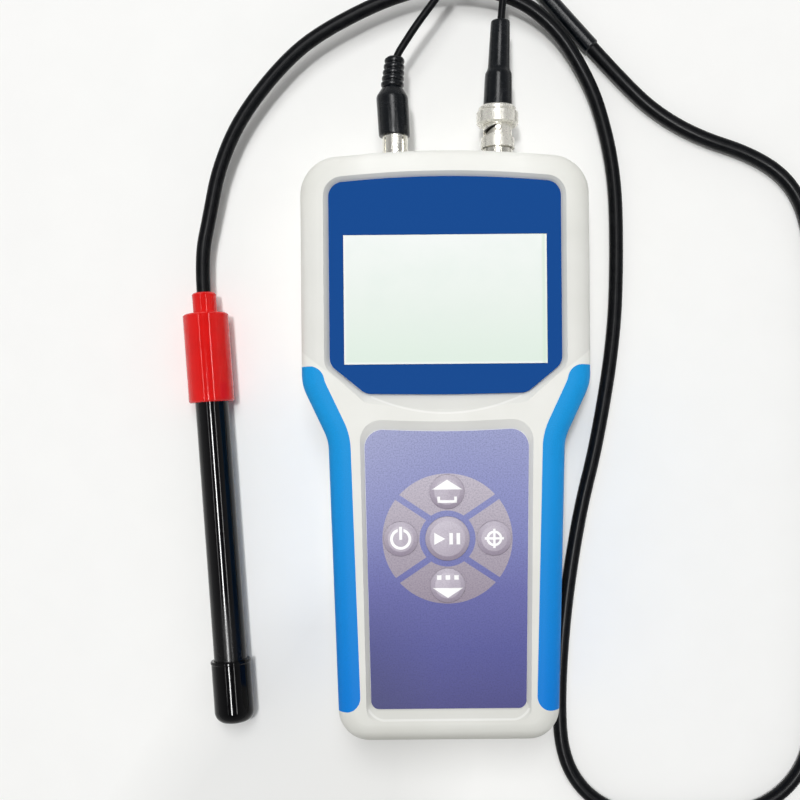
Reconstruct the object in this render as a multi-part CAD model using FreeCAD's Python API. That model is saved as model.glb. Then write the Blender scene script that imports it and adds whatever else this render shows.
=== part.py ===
import FreeCAD, Part
import math
import os

# Conductivity meter: a handheld case lying on its back, two plugs in its top end, and a probe on a cable.
# Millimetres. X is the meter's right, Y points to the connector end, Z points up off the table.
# The origin is the centre of the case's flat back.

V = FreeCAD.Vector

# Case
case_length = 198.5
case_thickness = 35.0
parting_height = 17.5
wall = 2.6
face_thickness = 4.5
head_width = 97.3
waist_width = 79.8
foot_width = 73.8
shoulder_drop = 78.85
waist_drop = 97.45
crown_slope = 4.8
crown_radius = 340.0
head_corner_radius = 13.0
shoulder_radius = 16.0
waist_radius = 15.0
foot_corner_radius = 10.5
front_edge_radius = 6.0
back_edge_radius = 8.0
joint_lip_height = 1.2
joint_lip_clearance = 0.1
least_corner_radius = 0.2

# Rubber side grips
grip_thickness = 1.4
grip_band = 7.9
grip_top_drop = 72.75
grip_bottom_border = 10.3
grip_low = 8.0
grip_end_radius = 5.0

# Display panel, window and module
display_border = 9.85
display_top_border = 9.65
display_height = 72.4
display_chamfer_x = 11.9
display_chamfer_y = 9.8
display_corner_radius = 5.0
display_recess = 2.2
display_rim = 1.7
display_dish = 5.7
display_bow = 0.4
display_bow_radius = 600.0
dish_bow = 3.0
dish_bow_radius = 120.0
dish_corner_radius = 4.0
panel_thickness = 1.2
panel_clearance = 0.15
window_side_border = 4.9
window_top_border = 19.5
window_bottom_border = 9.8
window_ledge = 1.6
glass_margin = 0.9
glass_thickness = 2.3
glass_clearance = 0.1
holder_rim = 3.8
holder_floor = 0.9
holder_clearance = 0.2

# Keypad
keypad_top_drop = 93.65
keypad_bottom_border = 11.05
keypad_top_width = 55.4
keypad_bottom_width = 52.1
keypad_dip = 1.2
keypad_dip_radius = 300.0
keypad_top_corner = 6.0
keypad_bottom_corner = 2.7
keypad_rim_corner = 1.0
keypad_recess = 2.0
keypad_rim_side = 1.3
keypad_rim_top = 3.1
keypad_rim_bottom = 3.5
film_thickness = 0.5
film_clearance = 0.15
key_centre_drop = 130.55
key_pitch = 15.6
centre_key_radius = 7.3
outer_key_radius = 5.7
key_gap = 0.15
key_flange = 0.6
key_flange_thickness = 0.6
key_flange_gap = 0.05
key_travel = 0.4
key_stop_gap = 0.1
key_stem_radius = 2.5
key_stem_gap = 0.15
key_edge_height = 0.35
key_dome_height = 0.8
key_rim = 1.4
key_rim_share = 0.65

# Circuit board
board_thickness = 1.6
board_drop = 3.5
board_head_inset = 4.9
board_top_drop = 19.75
board_step_rise = 0.6
board_tail_width = 50.0
board_tail_border = 22.2
board_corner_radius = 2.5
dome_radius = 4.0
dome_height = 0.8
dome_shoulder = 0.75
dome_gap = 0.45
board_boss_radius = 2.8
board_boss_inset = 3.6
board_screw_radius = 1.1
board_screw_head_radius = 2.3
board_screw_head_height = 1.5
board_screw_length = 4.0
screw_fit = 0.05
buzzer_radius = 6.0
buzzer_height = 6.0
buzzer_x = 12.0
buzzer_drop = 109.5

# Case screws
boss_radius = 4.0
upper_boss_inset = 9.0
upper_boss_drop = 13.7
lower_boss_inset = 8.0
lower_boss_border = 14.2
case_screw_radius = 1.5
case_screw_head_radius = 2.8
case_screw_head_height = 2.2
case_screw_depth = 6.0
case_screw_length = 21.0
screw_recess_gap = 0.4
screw_slot_length = 3.4
screw_slot_width = 0.8
screw_slot_depth = 1.0

# Battery bay and its sliding cover
cell_radius = 5.25
cell_length = 44.5
cell_nub_radius = 1.9
cell_nub_length = 0.8
cell_pitch = 10.7
cell_count = 4
cell_gap = 0.3
cell_end_gap = 0.1
contact_thickness = 0.4
contact_width = 7.0
contact_height = 6.0
contact_bow = 2.6
bay_border = 9.2
bay_wall = 1.5
cover_margin_x = 0.6
cover_margin_y = 3.0
cover_recess = 0.3
cover_lip = 1.3
cover_tongue = 1.2
cover_clearance = 0.15
cover_end_height = 9.0
cover_frame = 1.8
cover_groove_width = 1.2
cover_groove_depth = 0.5
cover_groove_length = 16.0
cover_groove_pitch = 3.0
cover_groove_count = 5

# Jacks in the top end: s counts outwards along Y from the flat that each jack seats on
seat_depth = 1.0
seat_clearance = 0.3
jack_pad_radius = 8.5
jack_pad_depth = 2.6
jack_hole_gap = 0.1

# Coaxial jack with a bayonet
bnc_x = 18.6
bnc_flange_radius = 5.1
bnc_flange_height = 4.0
bnc_barrel_radius = 4.3
bnc_barrel_length = 13.7
bnc_bore_radius = 3.6
bnc_bore_floor = 5.4
bnc_stem_radius = 4.5
bnc_stem_length = 8.0
bnc_insulator_radius = 2.3
bnc_insulator_length = 11.9
bnc_contact_radius = 1.1
bnc_contact_tail = 2.0
bnc_socket_radius = 0.7
bnc_lug_radius = 1.0
bnc_lug_tip = 5.0
bnc_lug_s = 10.9
bnc_nut_width = 12.5
bnc_nut_height = 2.5

# Coaxial plug and its coupling sleeve
ferrule_gap = 0.06
ferrule_bore_radius = 2.8
ferrule_end_gap = 0.4
plug_flange_radius = 4.75
plug_flange_start = 14.8
plug_flange_end = 17.0
plug_stem_radius = 4.0
plug_stem_end = 21.8
plug_insulator_start = 12.6
plug_pin_radius = 0.62
plug_pin_start = 6.4
sleeve_front = 4.4
sleeve_rim_end = 8.0
sleeve_rim_radius = 5.8
sleeve_barrel_radius = 5.0
sleeve_ring_start = 12.35
sleeve_ring_radius = 7.25
sleeve_ring_end = 17.0
sleeve_rear = 18.9
sleeve_rear_radius = 6.5
sleeve_chamfer = 0.6
sleeve_step = 0.35
sleeve_bore_gap = 0.15
sleeve_flange_gap = 0.1
sleeve_axial_gap = 0.2
sleeve_neck_gap = 0.1
bayonet_turn = 80.0
bayonet_travel = 2.2
bayonet_slot_gap = 0.2
bayonet_slot_depth = 0.2
bayonet_steps = 8

# Boot of the coaxial plug, s as above
boot_gap = 0.2
boot_step = 30.5
boot_end = 48.8
boot_radii = [4.9, 4.45, 3.75, 3.0]
lead_radius = 1.15
lead_bore_gap = 0.05
boot_bore_depth = 5.4
bnc_lead_engagement = 2.6

# Round temperature jack and plug, s as above
temp_x = -17.0
temp_barrel_radius = 3.9
temp_barrel_length = 7.5
temp_bore_radius = 3.2
temp_stem_radius = 4.2
temp_flange_radius = 6.2
temp_flange_height = 1.5
temp_contact_radius = 2.1
temp_contact_length = 6.0
temp_contact_tail = 2.5
temp_pin_radius = 1.58
temp_pin_gap = 0.04
temp_insulator_floor = 1.5
temp_sleeve_gap = 0.05
temp_sleeve_radius = 4.4
temp_sleeve_front = 1.0
temp_sleeve_seat = 14.0
temp_sleeve_slit = 0.7
temp_sleeve_slit_angle = 40.0
temp_insulator_start = 8.3
temp_boot_start = 8.9
temp_boot_front_radius = 5.3
temp_boot_radius = 5.35
temp_boot_shoulder = 22.2
temp_boot_neck = 25.5
temp_boot_end = 37.3
temp_tail_radius = 3.6
temp_tail_end_radius = 3.05
temp_tail_ribs = 5
temp_rib_depth = 0.55
temp_rib_foot = 0.25
temp_rib_groove = 0.3
temp_rib_rise = 0.1
temp_rib_land = 0.5
temp_lead_depth = 4.0

# Probe: s counts along its axis from the cable end to the tip
probe_start_x = -85.87
probe_start_y = 54.65
probe_end_x = -76.16
probe_end_y = -97.95
neck_radius = 4.25
neck_length = 7.5
collar_radius = 8.0
collar_end = 38.9
collar_chamfer = 0.5
shaft_seat = 8.0
shaft_radius = 5.8
shaft_wall = 1.4
shaft_end_gap = 5.3
cap_length = 22.2
cap_radius = 6.95
cap_bead = 0.2
cap_bead_length = 1.3
cap_floor_height = 0.5
cap_gap = 0.05
cap_end_radius = 4.0
cap_wall = 2.0
cap_end_gap = 0.4
cell_depth = 3.5
cell_length_s = 19.0
electrode_radius = 0.75
electrode_spread = 2.2
electrode_recess = 0.4
sensor_radius = 1.0
sensor_offset = 2.3
sensor_recess = 1.0

# Cables
cable_radius = 2.5
table_gap = 0.05
split_radius = 3.0
split_edge = 0.6
split_start_x = 53.55
split_start_y = 142.44
split_end_x = 36.56
split_end_y = 161.54
lead_spread = 1.35
collar_run = 12.6
split_run = 18.0
lead_run = 6.0
bend_share = 0.45


def unit(vector):
    return V(vector) * (1.0 / vector.Length)


def rounded_wire(corners, z):
    """Closed wire through corners (x, y, radius), each corner rounded by a tangent arc."""
    count = len(corners)
    points = [V(x, y, z) for x, y, radius in corners]
    edges = []
    bends = []
    for i in range(count):
        inward = unit(points[i] - points[i - 1])
        outward = unit(points[(i + 1) % count] - points[i])
        half_turn = inward.getAngle(outward) / 2
        radius = corners[i][2]
        reach = radius * math.tan(half_turn)
        start = points[i] - inward * reach
        end = points[i] + outward * reach
        middle = points[i]
        if radius > 0:
            bisector = unit(outward - inward)
            middle = points[i] + bisector * (radius / math.cos(half_turn) - radius)
        bends.append((start, middle, end, radius))
    for i in range(count):
        start, middle, end, radius = bends[i]
        edges.append(Part.LineSegment(bends[i - 1][2], start).toShape())
        if radius > 0:
            edges.append(Part.Arc(start, middle, end).toShape())
    return Part.Wire(edges)


def inset(corners, distance):
    """Corners of the outline that lies the distance inside, with the same centres of its arcs."""
    count = len(corners)
    points = [V(x, y, 0) for x, y, radius in corners]
    moved = []
    for i in range(count):
        inward = unit(points[i] - points[i - 1])
        outward = unit(points[(i + 1) % count] - points[i])
        normal_in = V(-inward.y, inward.x, 0)
        normal_out = V(-outward.y, outward.x, 0)
        shift = (normal_in + normal_out) * (distance / (1 + normal_in.dot(normal_out)))
        convex = inward.cross(outward).z > 0
        radius = corners[i][2]
        if radius > 0:
            radius = max(radius - distance, least_corner_radius) if convex else radius + distance
        moved.append((points[i].x + shift.x, points[i].y + shift.y, radius))
    return moved


def prism(corners, low, high):
    return Part.Face(rounded_wire(corners, low)).extrude(V(0, 0, high - low))


def dish(floor_corners, floor, rim_corners, rim):
    """Recess whose sides slope from its floor outline out to its rim outline."""
    return Part.makeLoft([rounded_wire(floor_corners, floor), rounded_wire(rim_corners, rim)], True, True)


def box(x_low, x_high, y_low, y_high, z_low, z_high):
    return Part.makeBox(x_high - x_low, y_high - y_low, z_high - z_low, V(x_low, y_low, z_low))


def post(x, y, low, high, radius):
    return Part.makeCylinder(radius, high - low, V(x, y, low))


def turned(profile):
    """Solid of revolution about Z from (radius, height) points."""
    points = [V(radius, 0, height) for radius, height in profile]
    return Part.Face(Part.makePolygon(points + points[:1])).revolve(V(0, 0, 0), V(0, 0, 1), 360)


def ring(inner, outer, low, high):
    return turned([(inner, low), (outer, low), (outer, high), (inner, high)])


def crowned(half_width, top_y, radius):
    """Heights of a crowned top edge's peak corner and of its two side corners."""
    slope = math.radians(crown_slope)
    peak = top_y + radius * (1 / math.cos(slope) - 1)
    return peak, peak - half_width * math.tan(slope)


def mirrored(shape):
    return shape.mirror(V(0, 0, 0), V(1, 0, 0))


def export(shape, node):
    shape.exportStep("parts/" + node + ".step")


os.makedirs("parts", exist_ok=True)

# Derived levels and outlines of the case

half_length = case_length / 2
head_half = head_width / 2
shoulder_y = half_length - shoulder_drop
waist_y = half_length - waist_drop
grip_top_y = half_length - grip_top_drop
grip_bottom_y = -half_length + grip_bottom_border
face_under = case_thickness - face_thickness
display_floor = case_thickness - display_recess
keypad_floor = case_thickness - keypad_recess
film_top = keypad_floor + film_thickness
board_top = face_under - board_drop
board_low = board_top - board_thickness
crown_peak, head_corner_y = crowned(head_half, half_length, crown_radius)

case_corners = [
    (-foot_width / 2, -half_length, foot_corner_radius),
    (foot_width / 2, -half_length, foot_corner_radius),
    (waist_width / 2, waist_y, waist_radius),
    (head_half, shoulder_y, shoulder_radius),
    (head_half, head_corner_y, head_corner_radius),
    (0, crown_peak, crown_radius),
    (-head_half, head_corner_y, head_corner_radius),
    (-head_half, shoulder_y, shoulder_radius),
    (-waist_width / 2, waist_y, waist_radius),
]


def blank(depth, low, high, low_radius=0, high_radius=0):
    """The case's form, a depth inside its outer skin, with rounded lower and upper edges."""
    body = prism(inset(case_corners, depth), low, high)
    for level, radius in ((low, low_radius), (high, high_radius)):
        if radius > 0:
            edges = [e for e in body.Edges if all(abs(p.Z - level) < 1e-4 for p in e.Vertexes)]
            body = body.makeFillet(radius, edges)
    return body


# Grips: a band over the front edge and down each side, one thickness deep

def make_grip():
    outer = blank(0, grip_low, case_thickness, high_radius=front_edge_radius)
    core = blank(
        grip_thickness,
        grip_low - grip_thickness,
        case_thickness - grip_thickness,
        high_radius=front_edge_radius - grip_thickness,
    )
    zone = box(0, head_half + wall, grip_bottom_y, grip_top_y, grip_low, case_thickness)
    zone = zone.cut(prism(inset(case_corners, grip_band), grip_low, case_thickness))
    ends = []
    for edge in zone.Edges:
        first, last = edge.Vertexes[0], edge.Vertexes[-1]
        upright = abs(first.X - last.X) + abs(first.Y - last.Y) < 1e-4
        at_end = min(abs(first.Y - grip_bottom_y), abs(first.Y - grip_top_y)) < 1e-4
        if upright and at_end and first.X < head_half:
            ends.append(edge)
    zone = zone.makeFillet(grip_end_radius, ends)
    return zone.common(outer).cut(core)


grip_right = make_grip()
grip_left = mirrored(grip_right)
export(grip_right, "grip_right")
export(grip_left, "grip_left")

# Display: outline of the panel, and the rim of the sloped recess around it

display_half = head_half - display_border
display_top_y = half_length - display_top_border
display_bottom_y = display_top_y - display_height
display_peak, display_corner_y = crowned(display_half, display_top_y, crown_radius)
rim_peak, rim_corner_y = crowned(display_half + display_rim, display_top_y + display_rim, crown_radius)


def display_outline(clearance):
    low_half = display_half - display_chamfer_x
    right = [
        (low_half, display_bottom_y, display_corner_radius),
        (display_half, display_bottom_y + display_chamfer_y, display_corner_radius),
        (display_half, display_corner_y, display_corner_radius),
    ]
    left = [(-x, y, radius) for x, y, radius in reversed(right)]
    peak = [(0, display_peak, crown_radius)]
    bottom = [(0, display_bottom_y - display_bow, display_bow_radius)]
    return inset(right + peak + left + bottom, -clearance)


def display_rim_outline():
    low_half = display_half - display_chamfer_x
    rim_half = display_half + display_rim
    dish_y = display_bottom_y - display_dish
    right = [
        (low_half, dish_y + dish_bow - display_bow, dish_corner_radius),
        (rim_half, display_bottom_y + display_chamfer_y - display_rim / 2, display_corner_radius),
        (rim_half, rim_corner_y, display_corner_radius + display_rim),
    ]
    left = [(-x, y, radius) for x, y, radius in reversed(right)]
    peak = [(0, rim_peak, crown_radius)]
    bottom = [(0, dish_y - display_bow, dish_bow_radius)]
    return right + peak + left + bottom


window_half = display_half - window_side_border
window_low_y = display_bottom_y + window_bottom_border
window_high_y = display_top_y - window_top_border


def window_prism(margin, low, high):
    """Block of the window's outline, larger by the margin on every side."""
    half = window_half + margin
    return box(-half, half, window_low_y - margin, window_high_y + margin, low, high)


panel_top = display_floor + panel_thickness
display_panel = prism(display_outline(0), display_floor, panel_top).cut(
    window_prism(glass_clearance, display_floor, panel_top)
)
export(display_panel, "display_panel")
export(window_prism(0, display_floor, panel_top), "display_window")

# Liquid crystal module in its holder, on the board behind the window

holder_top = face_under - holder_clearance
glass_low = board_top + holder_floor
lcd_glass = window_prism(-glass_margin, glass_low, glass_low + glass_thickness)
lcd_holder = window_prism(holder_rim - glass_margin, board_top, holder_top)
lcd_holder = lcd_holder.cut(window_prism(glass_clearance - glass_margin, glass_low, holder_top))
lcd_holder = lcd_holder.cut(window_prism(-glass_margin - holder_rim / 2, board_top, glass_low))
export(lcd_glass, "lcd_glass")
export(lcd_holder, "lcd_holder")

# Keypad: film outline, sloped rim and the five keys

keypad_top_y = half_length - keypad_top_drop
keypad_bottom_y = -half_length + keypad_bottom_border
key_centre_y = half_length - key_centre_drop

def keypad_outline(side, top, bottom, corner):
    """Keypad outline grown by its side, top and bottom margins, its corners by one more radius."""
    top_half = keypad_top_width / 2 + side
    bottom_half = keypad_bottom_width / 2 + side
    top_y = keypad_top_y + top
    return [
        (-bottom_half, keypad_bottom_y - bottom, keypad_bottom_corner + corner),
        (bottom_half, keypad_bottom_y - bottom, keypad_bottom_corner + corner),
        (top_half, top_y, keypad_top_corner + corner),
        (0, top_y - keypad_dip, keypad_dip_radius),
        (-top_half, top_y, keypad_top_corner + corner),
    ]


key_places = {
    "key_centre": (0, key_centre_y, centre_key_radius),
    "key_up": (0, key_centre_y + key_pitch, outer_key_radius),
    "key_down": (0, key_centre_y - key_pitch, outer_key_radius),
    "key_power": (-key_pitch, key_centre_y, outer_key_radius),
    "key_right": (key_pitch, key_centre_y, outer_key_radius),
}
film_low = keypad_floor
flange_top = film_low - key_flange_gap
flange_low = flange_top - key_flange_thickness
stop_level = flange_low - key_travel - key_stop_gap
stem_low = board_top + dome_height + dome_gap

film = prism(keypad_outline(-film_clearance, -film_clearance, -film_clearance, 0), film_low, film_top)
keypad_overlay = film.cut([post(x, y, film_low, film_top, r + key_gap) for x, y, r in key_places.values()])
export(keypad_overlay, "keypad_overlay")


def make_key(x, y, radius):
    """Domed key on a flange that the film holds down, with a stem down to its snap dome."""
    edge = film_top + key_edge_height
    cap = turned([
        (0, flange_low),
        (radius, flange_low),
        (radius, edge),
        (radius - key_rim, edge + key_dome_height * key_rim_share),
        (0, edge + key_dome_height),
    ])
    cap.translate(V(x, y, 0))
    flange = post(x, y, flange_low, flange_top, radius + key_flange)
    stem = post(x, y, stem_low, flange_top, key_stem_radius)
    return cap.fuse([flange, stem]).removeSplitter()


for node, (x, y, radius) in key_places.items():
    export(make_key(x, y, radius), node)

# Front shell

bosses = [
    (head_half - upper_boss_inset, half_length - upper_boss_drop),
    (foot_width / 2 - lower_boss_inset, -half_length + lower_boss_border),
]
boss_places = bosses + [(-x, y) for x, y in bosses]
board_half = head_half - board_head_inset
board_top_y = half_length - board_top_drop
board_tail_y = -half_length + board_tail_border
board_step_y = shoulder_y + board_step_rise
board_boss_places = [
    (board_half - board_boss_inset, board_top_y - board_boss_inset),
    (board_half - board_boss_inset, board_step_y + board_boss_inset),
    (board_tail_width / 2 - board_boss_inset, board_tail_y + board_boss_inset),
]
board_boss_places = board_boss_places + [(-x, y) for x, y in board_boss_places]
seat_y = half_length - seat_depth


def along_y(shape, x):
    """Turns a piece made about Z to point out of the top end at one jack's place."""
    turned_piece = shape.copy()
    turned_piece.rotate(V(0, 0, 0), V(1, 0, 0), -90)
    turned_piece.translate(V(x, seat_y, parting_height))
    return turned_piece


jacks = (
    (bnc_x, bnc_stem_radius, bnc_flange_radius),
    (temp_x, temp_stem_radius, temp_barrel_radius),
)


def jack_cuts():
    """Through holes for the jacks, and the round flats that they seat on."""
    cuts = []
    for x, stem, flange in jacks:
        cuts.append(along_y(ring(0, stem + jack_hole_gap, -jack_pad_depth - wall, wall), x))
        cuts.append(along_y(ring(0, flange + seat_clearance, 0, wall), x))
    return cuts


def jack_pads(low, high):
    """Half discs inside the end wall that give each jack a flat on its inner side."""
    half = box(-head_half, head_half, 0, half_length, low, high)
    disc = ring(0, jack_pad_radius, -jack_pad_depth, -seat_depth / 2)
    return [along_y(disc, x).common(half) for x, stem, flange in jacks]


def lip_ring(outer_depth, inner_depth, height):
    """Ring between two depths inside the case's skin, of a height up to the parting plane."""
    low = parting_height - height
    inner = prism(inset(case_corners, inner_depth), low, parting_height)
    return prism(inset(case_corners, outer_depth), low, parting_height).cut(inner)


def make_front_shell():
    shell = blank(0, parting_height, case_thickness, high_radius=front_edge_radius)
    cavity = blank(wall, parting_height - wall, face_under, high_radius=front_edge_radius - wall)
    shell = shell.cut(cavity)
    added = [post(x, y, parting_height, face_under, boss_radius) for x, y in boss_places]
    added += [post(x, y, board_top, face_under, board_boss_radius) for x, y in board_boss_places]
    added += jack_pads(parting_height, parting_height + jack_pad_radius)
    added.append(lip_ring(grip_thickness + joint_lip_clearance, wall, joint_lip_height))
    shell = shell.fuse(added)
    cuts = [
        dish(display_outline(panel_clearance), display_floor, display_rim_outline(), case_thickness),
        dish(
            keypad_outline(0, 0, 0, 0),
            keypad_floor,
            keypad_outline(keypad_rim_side, keypad_rim_top, keypad_rim_bottom, keypad_rim_corner),
            case_thickness,
        ),
        window_prism(-window_ledge, face_under - wall, case_thickness),
    ]
    for x, y, radius in key_places.values():
        cuts.append(post(x, y, face_under - wall, case_thickness, key_stem_radius + key_stem_gap))
        cuts.append(post(x, y, stop_level, case_thickness, radius + key_flange + key_gap))
    pilot_top = case_screw_depth + case_screw_length
    cuts += [post(x, y, 0, pilot_top, case_screw_radius + screw_fit) for x, y in boss_places]
    pilot_top = board_low + board_screw_length
    cuts += [post(x, y, board_low, pilot_top, board_screw_radius + screw_fit) for x, y in board_boss_places]
    cuts += jack_cuts()
    return shell.cut(cuts + [grip_left, grip_right]).removeSplitter()


export(make_front_shell(), "front_shell")

# Circuit board, its parts and its screws

board_corners = [
    (board_tail_width / 2, board_tail_y, board_corner_radius),
    (board_tail_width / 2, board_step_y, board_corner_radius),
    (board_half, board_step_y, board_corner_radius),
    (board_half, board_top_y, board_corner_radius),
]
board_corners = board_corners + [(-x, y, radius) for x, y, radius in reversed(board_corners)]
main_board = prism(board_corners, board_low, board_top)
main_board = main_board.cut(
    [post(x, y, board_low, board_top, board_screw_radius + screw_fit) for x, y in board_boss_places]
)
export(main_board, "main_board")

# Chips as (x, drop, width, length, height) under the board, the drop counted down from its top end
chips = [
    (-16.0, 27.5, 14.0, 14.0, 1.6),
    (12.0, 21.5, 10.0, 6.5, 1.7),
    (14.0, 41.5, 8.0, 5.5, 1.7),
    (-14.0, 49.5, 12.0, 4.5, 3.5),
    (8.0, 81.5, 6.0, 5.0, 1.7),
    (-9.0, 91.5, 9.0, 7.0, 1.7),
]


def make_chip(x, drop, width, length, height):
    y = board_top_y - drop
    return box(x - width / 2, x + width / 2, y - length / 2, y + length / 2, board_low - height, board_low)


chip_blocks = [make_chip(*chip) for chip in chips]
buzzer_y = board_top_y - buzzer_drop
buzzer = post(buzzer_x, buzzer_y, board_low - buzzer_height, board_low, buzzer_radius)
export(Part.makeCompound(chip_blocks + [buzzer]), "board_chips")


def make_dome(x, y):
    low = board_top
    dome = turned([
        (0, low),
        (dome_radius, low),
        (dome_radius / 2, low + dome_height * dome_shoulder),
        (0, low + dome_height),
    ])
    dome.translate(V(x, y, 0))
    return dome


export(Part.makeCompound([make_dome(x, y) for x, y, r in key_places.values()]), "snap_domes")


def make_board_screw(x, y):
    head = post(x, y, board_low - board_screw_head_height, board_low, board_screw_head_radius)
    shank = post(x, y, board_low, board_low + board_screw_length, board_screw_radius)
    return head.fuse(shank)


export(Part.makeCompound([make_board_screw(x, y) for x, y in board_boss_places]), "board_screws")

# Battery bay sizes, and the cover that slides off the bottom end

bay_bottom_y = -half_length + bay_border
bay_half = cell_pitch * (cell_count - 1) / 2 + cell_radius + cell_end_gap
bay_top_y = bay_bottom_y + cell_length + contact_bow + 2 * contact_thickness + 2 * cell_end_gap
cell_z = wall + cell_gap + cell_radius
bay_roof = cell_z + cell_radius + cell_gap
cover_half = bay_half + cover_margin_x
cover_top_y = bay_top_y + cover_margin_y
cover_off_y = -half_length - wall


def cover_region(side, gap, low, high):
    """Straight run for the cover, open past the bottom end."""
    return box(-cover_half - side - gap, cover_half + side + gap, cover_off_y, cover_top_y + gap, low, high)


def make_battery_cover():
    outer = blank(0, 0, parting_height, low_radius=back_edge_radius)
    inner = blank(wall, wall, parting_height, low_radius=back_edge_radius - wall)
    skin = outer.cut(inner).common(cover_region(0, 0, cover_recess, cover_end_height))
    tongue = cover_region(cover_tongue, 0, cover_lip + cover_clearance, wall)
    tongue = tongue.common(outer).common(cover_region(cover_tongue, 0, 0, wall))
    cover = skin.fuse(tongue)
    groove_half = cover_groove_length / 2
    for i in range(cover_groove_count):
        y = cover_top_y - 2 * cover_margin_y - i * cover_groove_pitch
        groove_top = cover_recess + cover_groove_depth
        cover = cover.cut(box(-groove_half, groove_half, y - cover_groove_width, y, 0, groove_top))
    return cover.removeSplitter()


battery_cover = make_battery_cover()
export(battery_cover, "battery_cover")

# Cells lie side by side with their nubs pointing up and down in turn

first_cell_x = -cell_pitch * (cell_count - 1) / 2
cell_low_y = bay_bottom_y + contact_thickness


def make_cell(i):
    x = first_cell_x + i * cell_pitch
    nub_up = i % 2 == 0
    body_length = cell_length - cell_nub_length
    low_y = cell_low_y + (contact_bow + cell_end_gap if nub_up else cell_end_gap)
    body_y = low_y if nub_up else low_y + cell_nub_length
    nub_y = low_y + body_length if nub_up else low_y
    body = Part.makeCylinder(cell_radius, body_length, V(x, body_y, cell_z), V(0, 1, 0))
    nub = Part.makeCylinder(cell_nub_radius, cell_nub_length, V(x, nub_y, cell_z), V(0, 1, 0))
    return body.fuse(nub).removeSplitter()


export(Part.makeCompound([make_cell(i) for i in range(cell_count)]), "batteries")


def bowed_strip(x, wall_y, way):
    """Leaf contact that bows off its plate towards a cell's flat end."""
    half = contact_width / 2
    base = wall_y + way * contact_thickness
    crest = base + way * contact_bow
    thin = contact_thickness
    low_z = cell_z - contact_height / 2
    outer = Part.Arc(V(x - half, base, low_z), V(x, crest, low_z), V(x + half, base, low_z)).toShape()
    foot = Part.LineSegment(V(x + half, base, low_z), V(x + half - thin, base, low_z)).toShape()
    inner = Part.Arc(
        V(x + half - thin, base, low_z), V(x, crest - way * thin, low_z), V(x - half + thin, base, low_z)
    ).toShape()
    heel = Part.LineSegment(V(x - half + thin, base, low_z), V(x - half, base, low_z)).toShape()
    return Part.Face(Part.Wire([outer, foot, inner, heel])).extrude(V(0, 0, contact_height))


def make_contacts():
    pieces = []
    for i in range(cell_count):
        x = first_cell_x + i * cell_pitch
        half = contact_width / 2
        low_z = cell_z - contact_height / 2
        high_z = cell_z + contact_height / 2
        lower = box(x - half, x + half, bay_bottom_y, bay_bottom_y + contact_thickness, low_z, high_z)
        upper = box(x - half, x + half, bay_top_y - contact_thickness, bay_top_y, low_z, high_z)
        if i % 2 == 0:
            lower = lower.fuse(bowed_strip(x, bay_bottom_y, 1))
        else:
            upper = upper.fuse(bowed_strip(x, bay_top_y, -1))
        pieces += [lower, upper]
    return Part.makeCompound(pieces)


export(make_contacts(), "battery_contacts")

# Rear shell


def make_rear_shell():
    outer = blank(0, 0, parting_height, low_radius=back_edge_radius)
    cavity = blank(wall, wall, parting_height + wall, low_radius=back_edge_radius - wall)
    shell = outer.cut(cavity)
    added = [post(x, y, wall, parting_height, boss_radius) for x, y in boss_places]
    bay_low_y = bay_bottom_y - bay_wall
    bay_high_y = bay_top_y + bay_wall
    bay_side = bay_half + bay_wall
    added.append(box(-bay_side, bay_side, bay_low_y, bay_high_y, 0, bay_roof + bay_wall))
    frame_half = cover_half + cover_tongue + cover_frame
    frame_top = wall + cover_frame
    added.append(box(-frame_half, frame_half, -half_length, cover_top_y + cover_frame, 0, frame_top))
    added += jack_pads(parting_height - jack_pad_radius, parting_height)
    shell = shell.fuse([piece.common(outer) for piece in added])
    gap = cover_clearance
    inner = blank(wall + gap, wall + gap, parting_height, low_radius=back_edge_radius - wall - gap)
    cuts = [
        cover_region(0, gap, 0, cover_end_height + gap).cut(inner),
        cover_region(cover_tongue, gap, cover_lip, wall + gap),
        box(-bay_half, bay_half, bay_bottom_y, bay_top_y, 0, bay_roof),
        lip_ring(
            grip_thickness - joint_lip_clearance,
            wall + joint_lip_clearance,
            joint_lip_height + joint_lip_clearance,
        ),
    ]
    for x, y in boss_places:
        cuts.append(post(x, y, 0, parting_height, case_screw_radius + screw_recess_gap))
        cuts.append(post(x, y, 0, case_screw_depth, case_screw_head_radius + screw_recess_gap))
    cuts += jack_cuts()
    return shell.cut(cuts + [grip_left, grip_right]).removeSplitter()


export(make_rear_shell(), "rear_shell")


def make_case_screw(x, y):
    """Pan-head screw from the back, through the rear boss and into the front one, with a cross slot."""
    head_low = case_screw_depth - case_screw_head_height
    screw = post(x, y, head_low, case_screw_depth, case_screw_head_radius)
    screw = screw.fuse(post(x, y, case_screw_depth, case_screw_depth + case_screw_length, case_screw_radius))
    long_half = screw_slot_length / 2
    short_half = screw_slot_width / 2
    top = head_low + screw_slot_depth
    cross = box(x - long_half, x + long_half, y - short_half, y + short_half, head_low, top)
    cross = cross.fuse(box(x - short_half, x + short_half, y - long_half, y + long_half, head_low, top))
    return screw.cut(cross).removeSplitter()


export(Part.makeCompound([make_case_screw(x, y) for x, y in boss_places]), "case_screws")

# Coaxial jack


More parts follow.
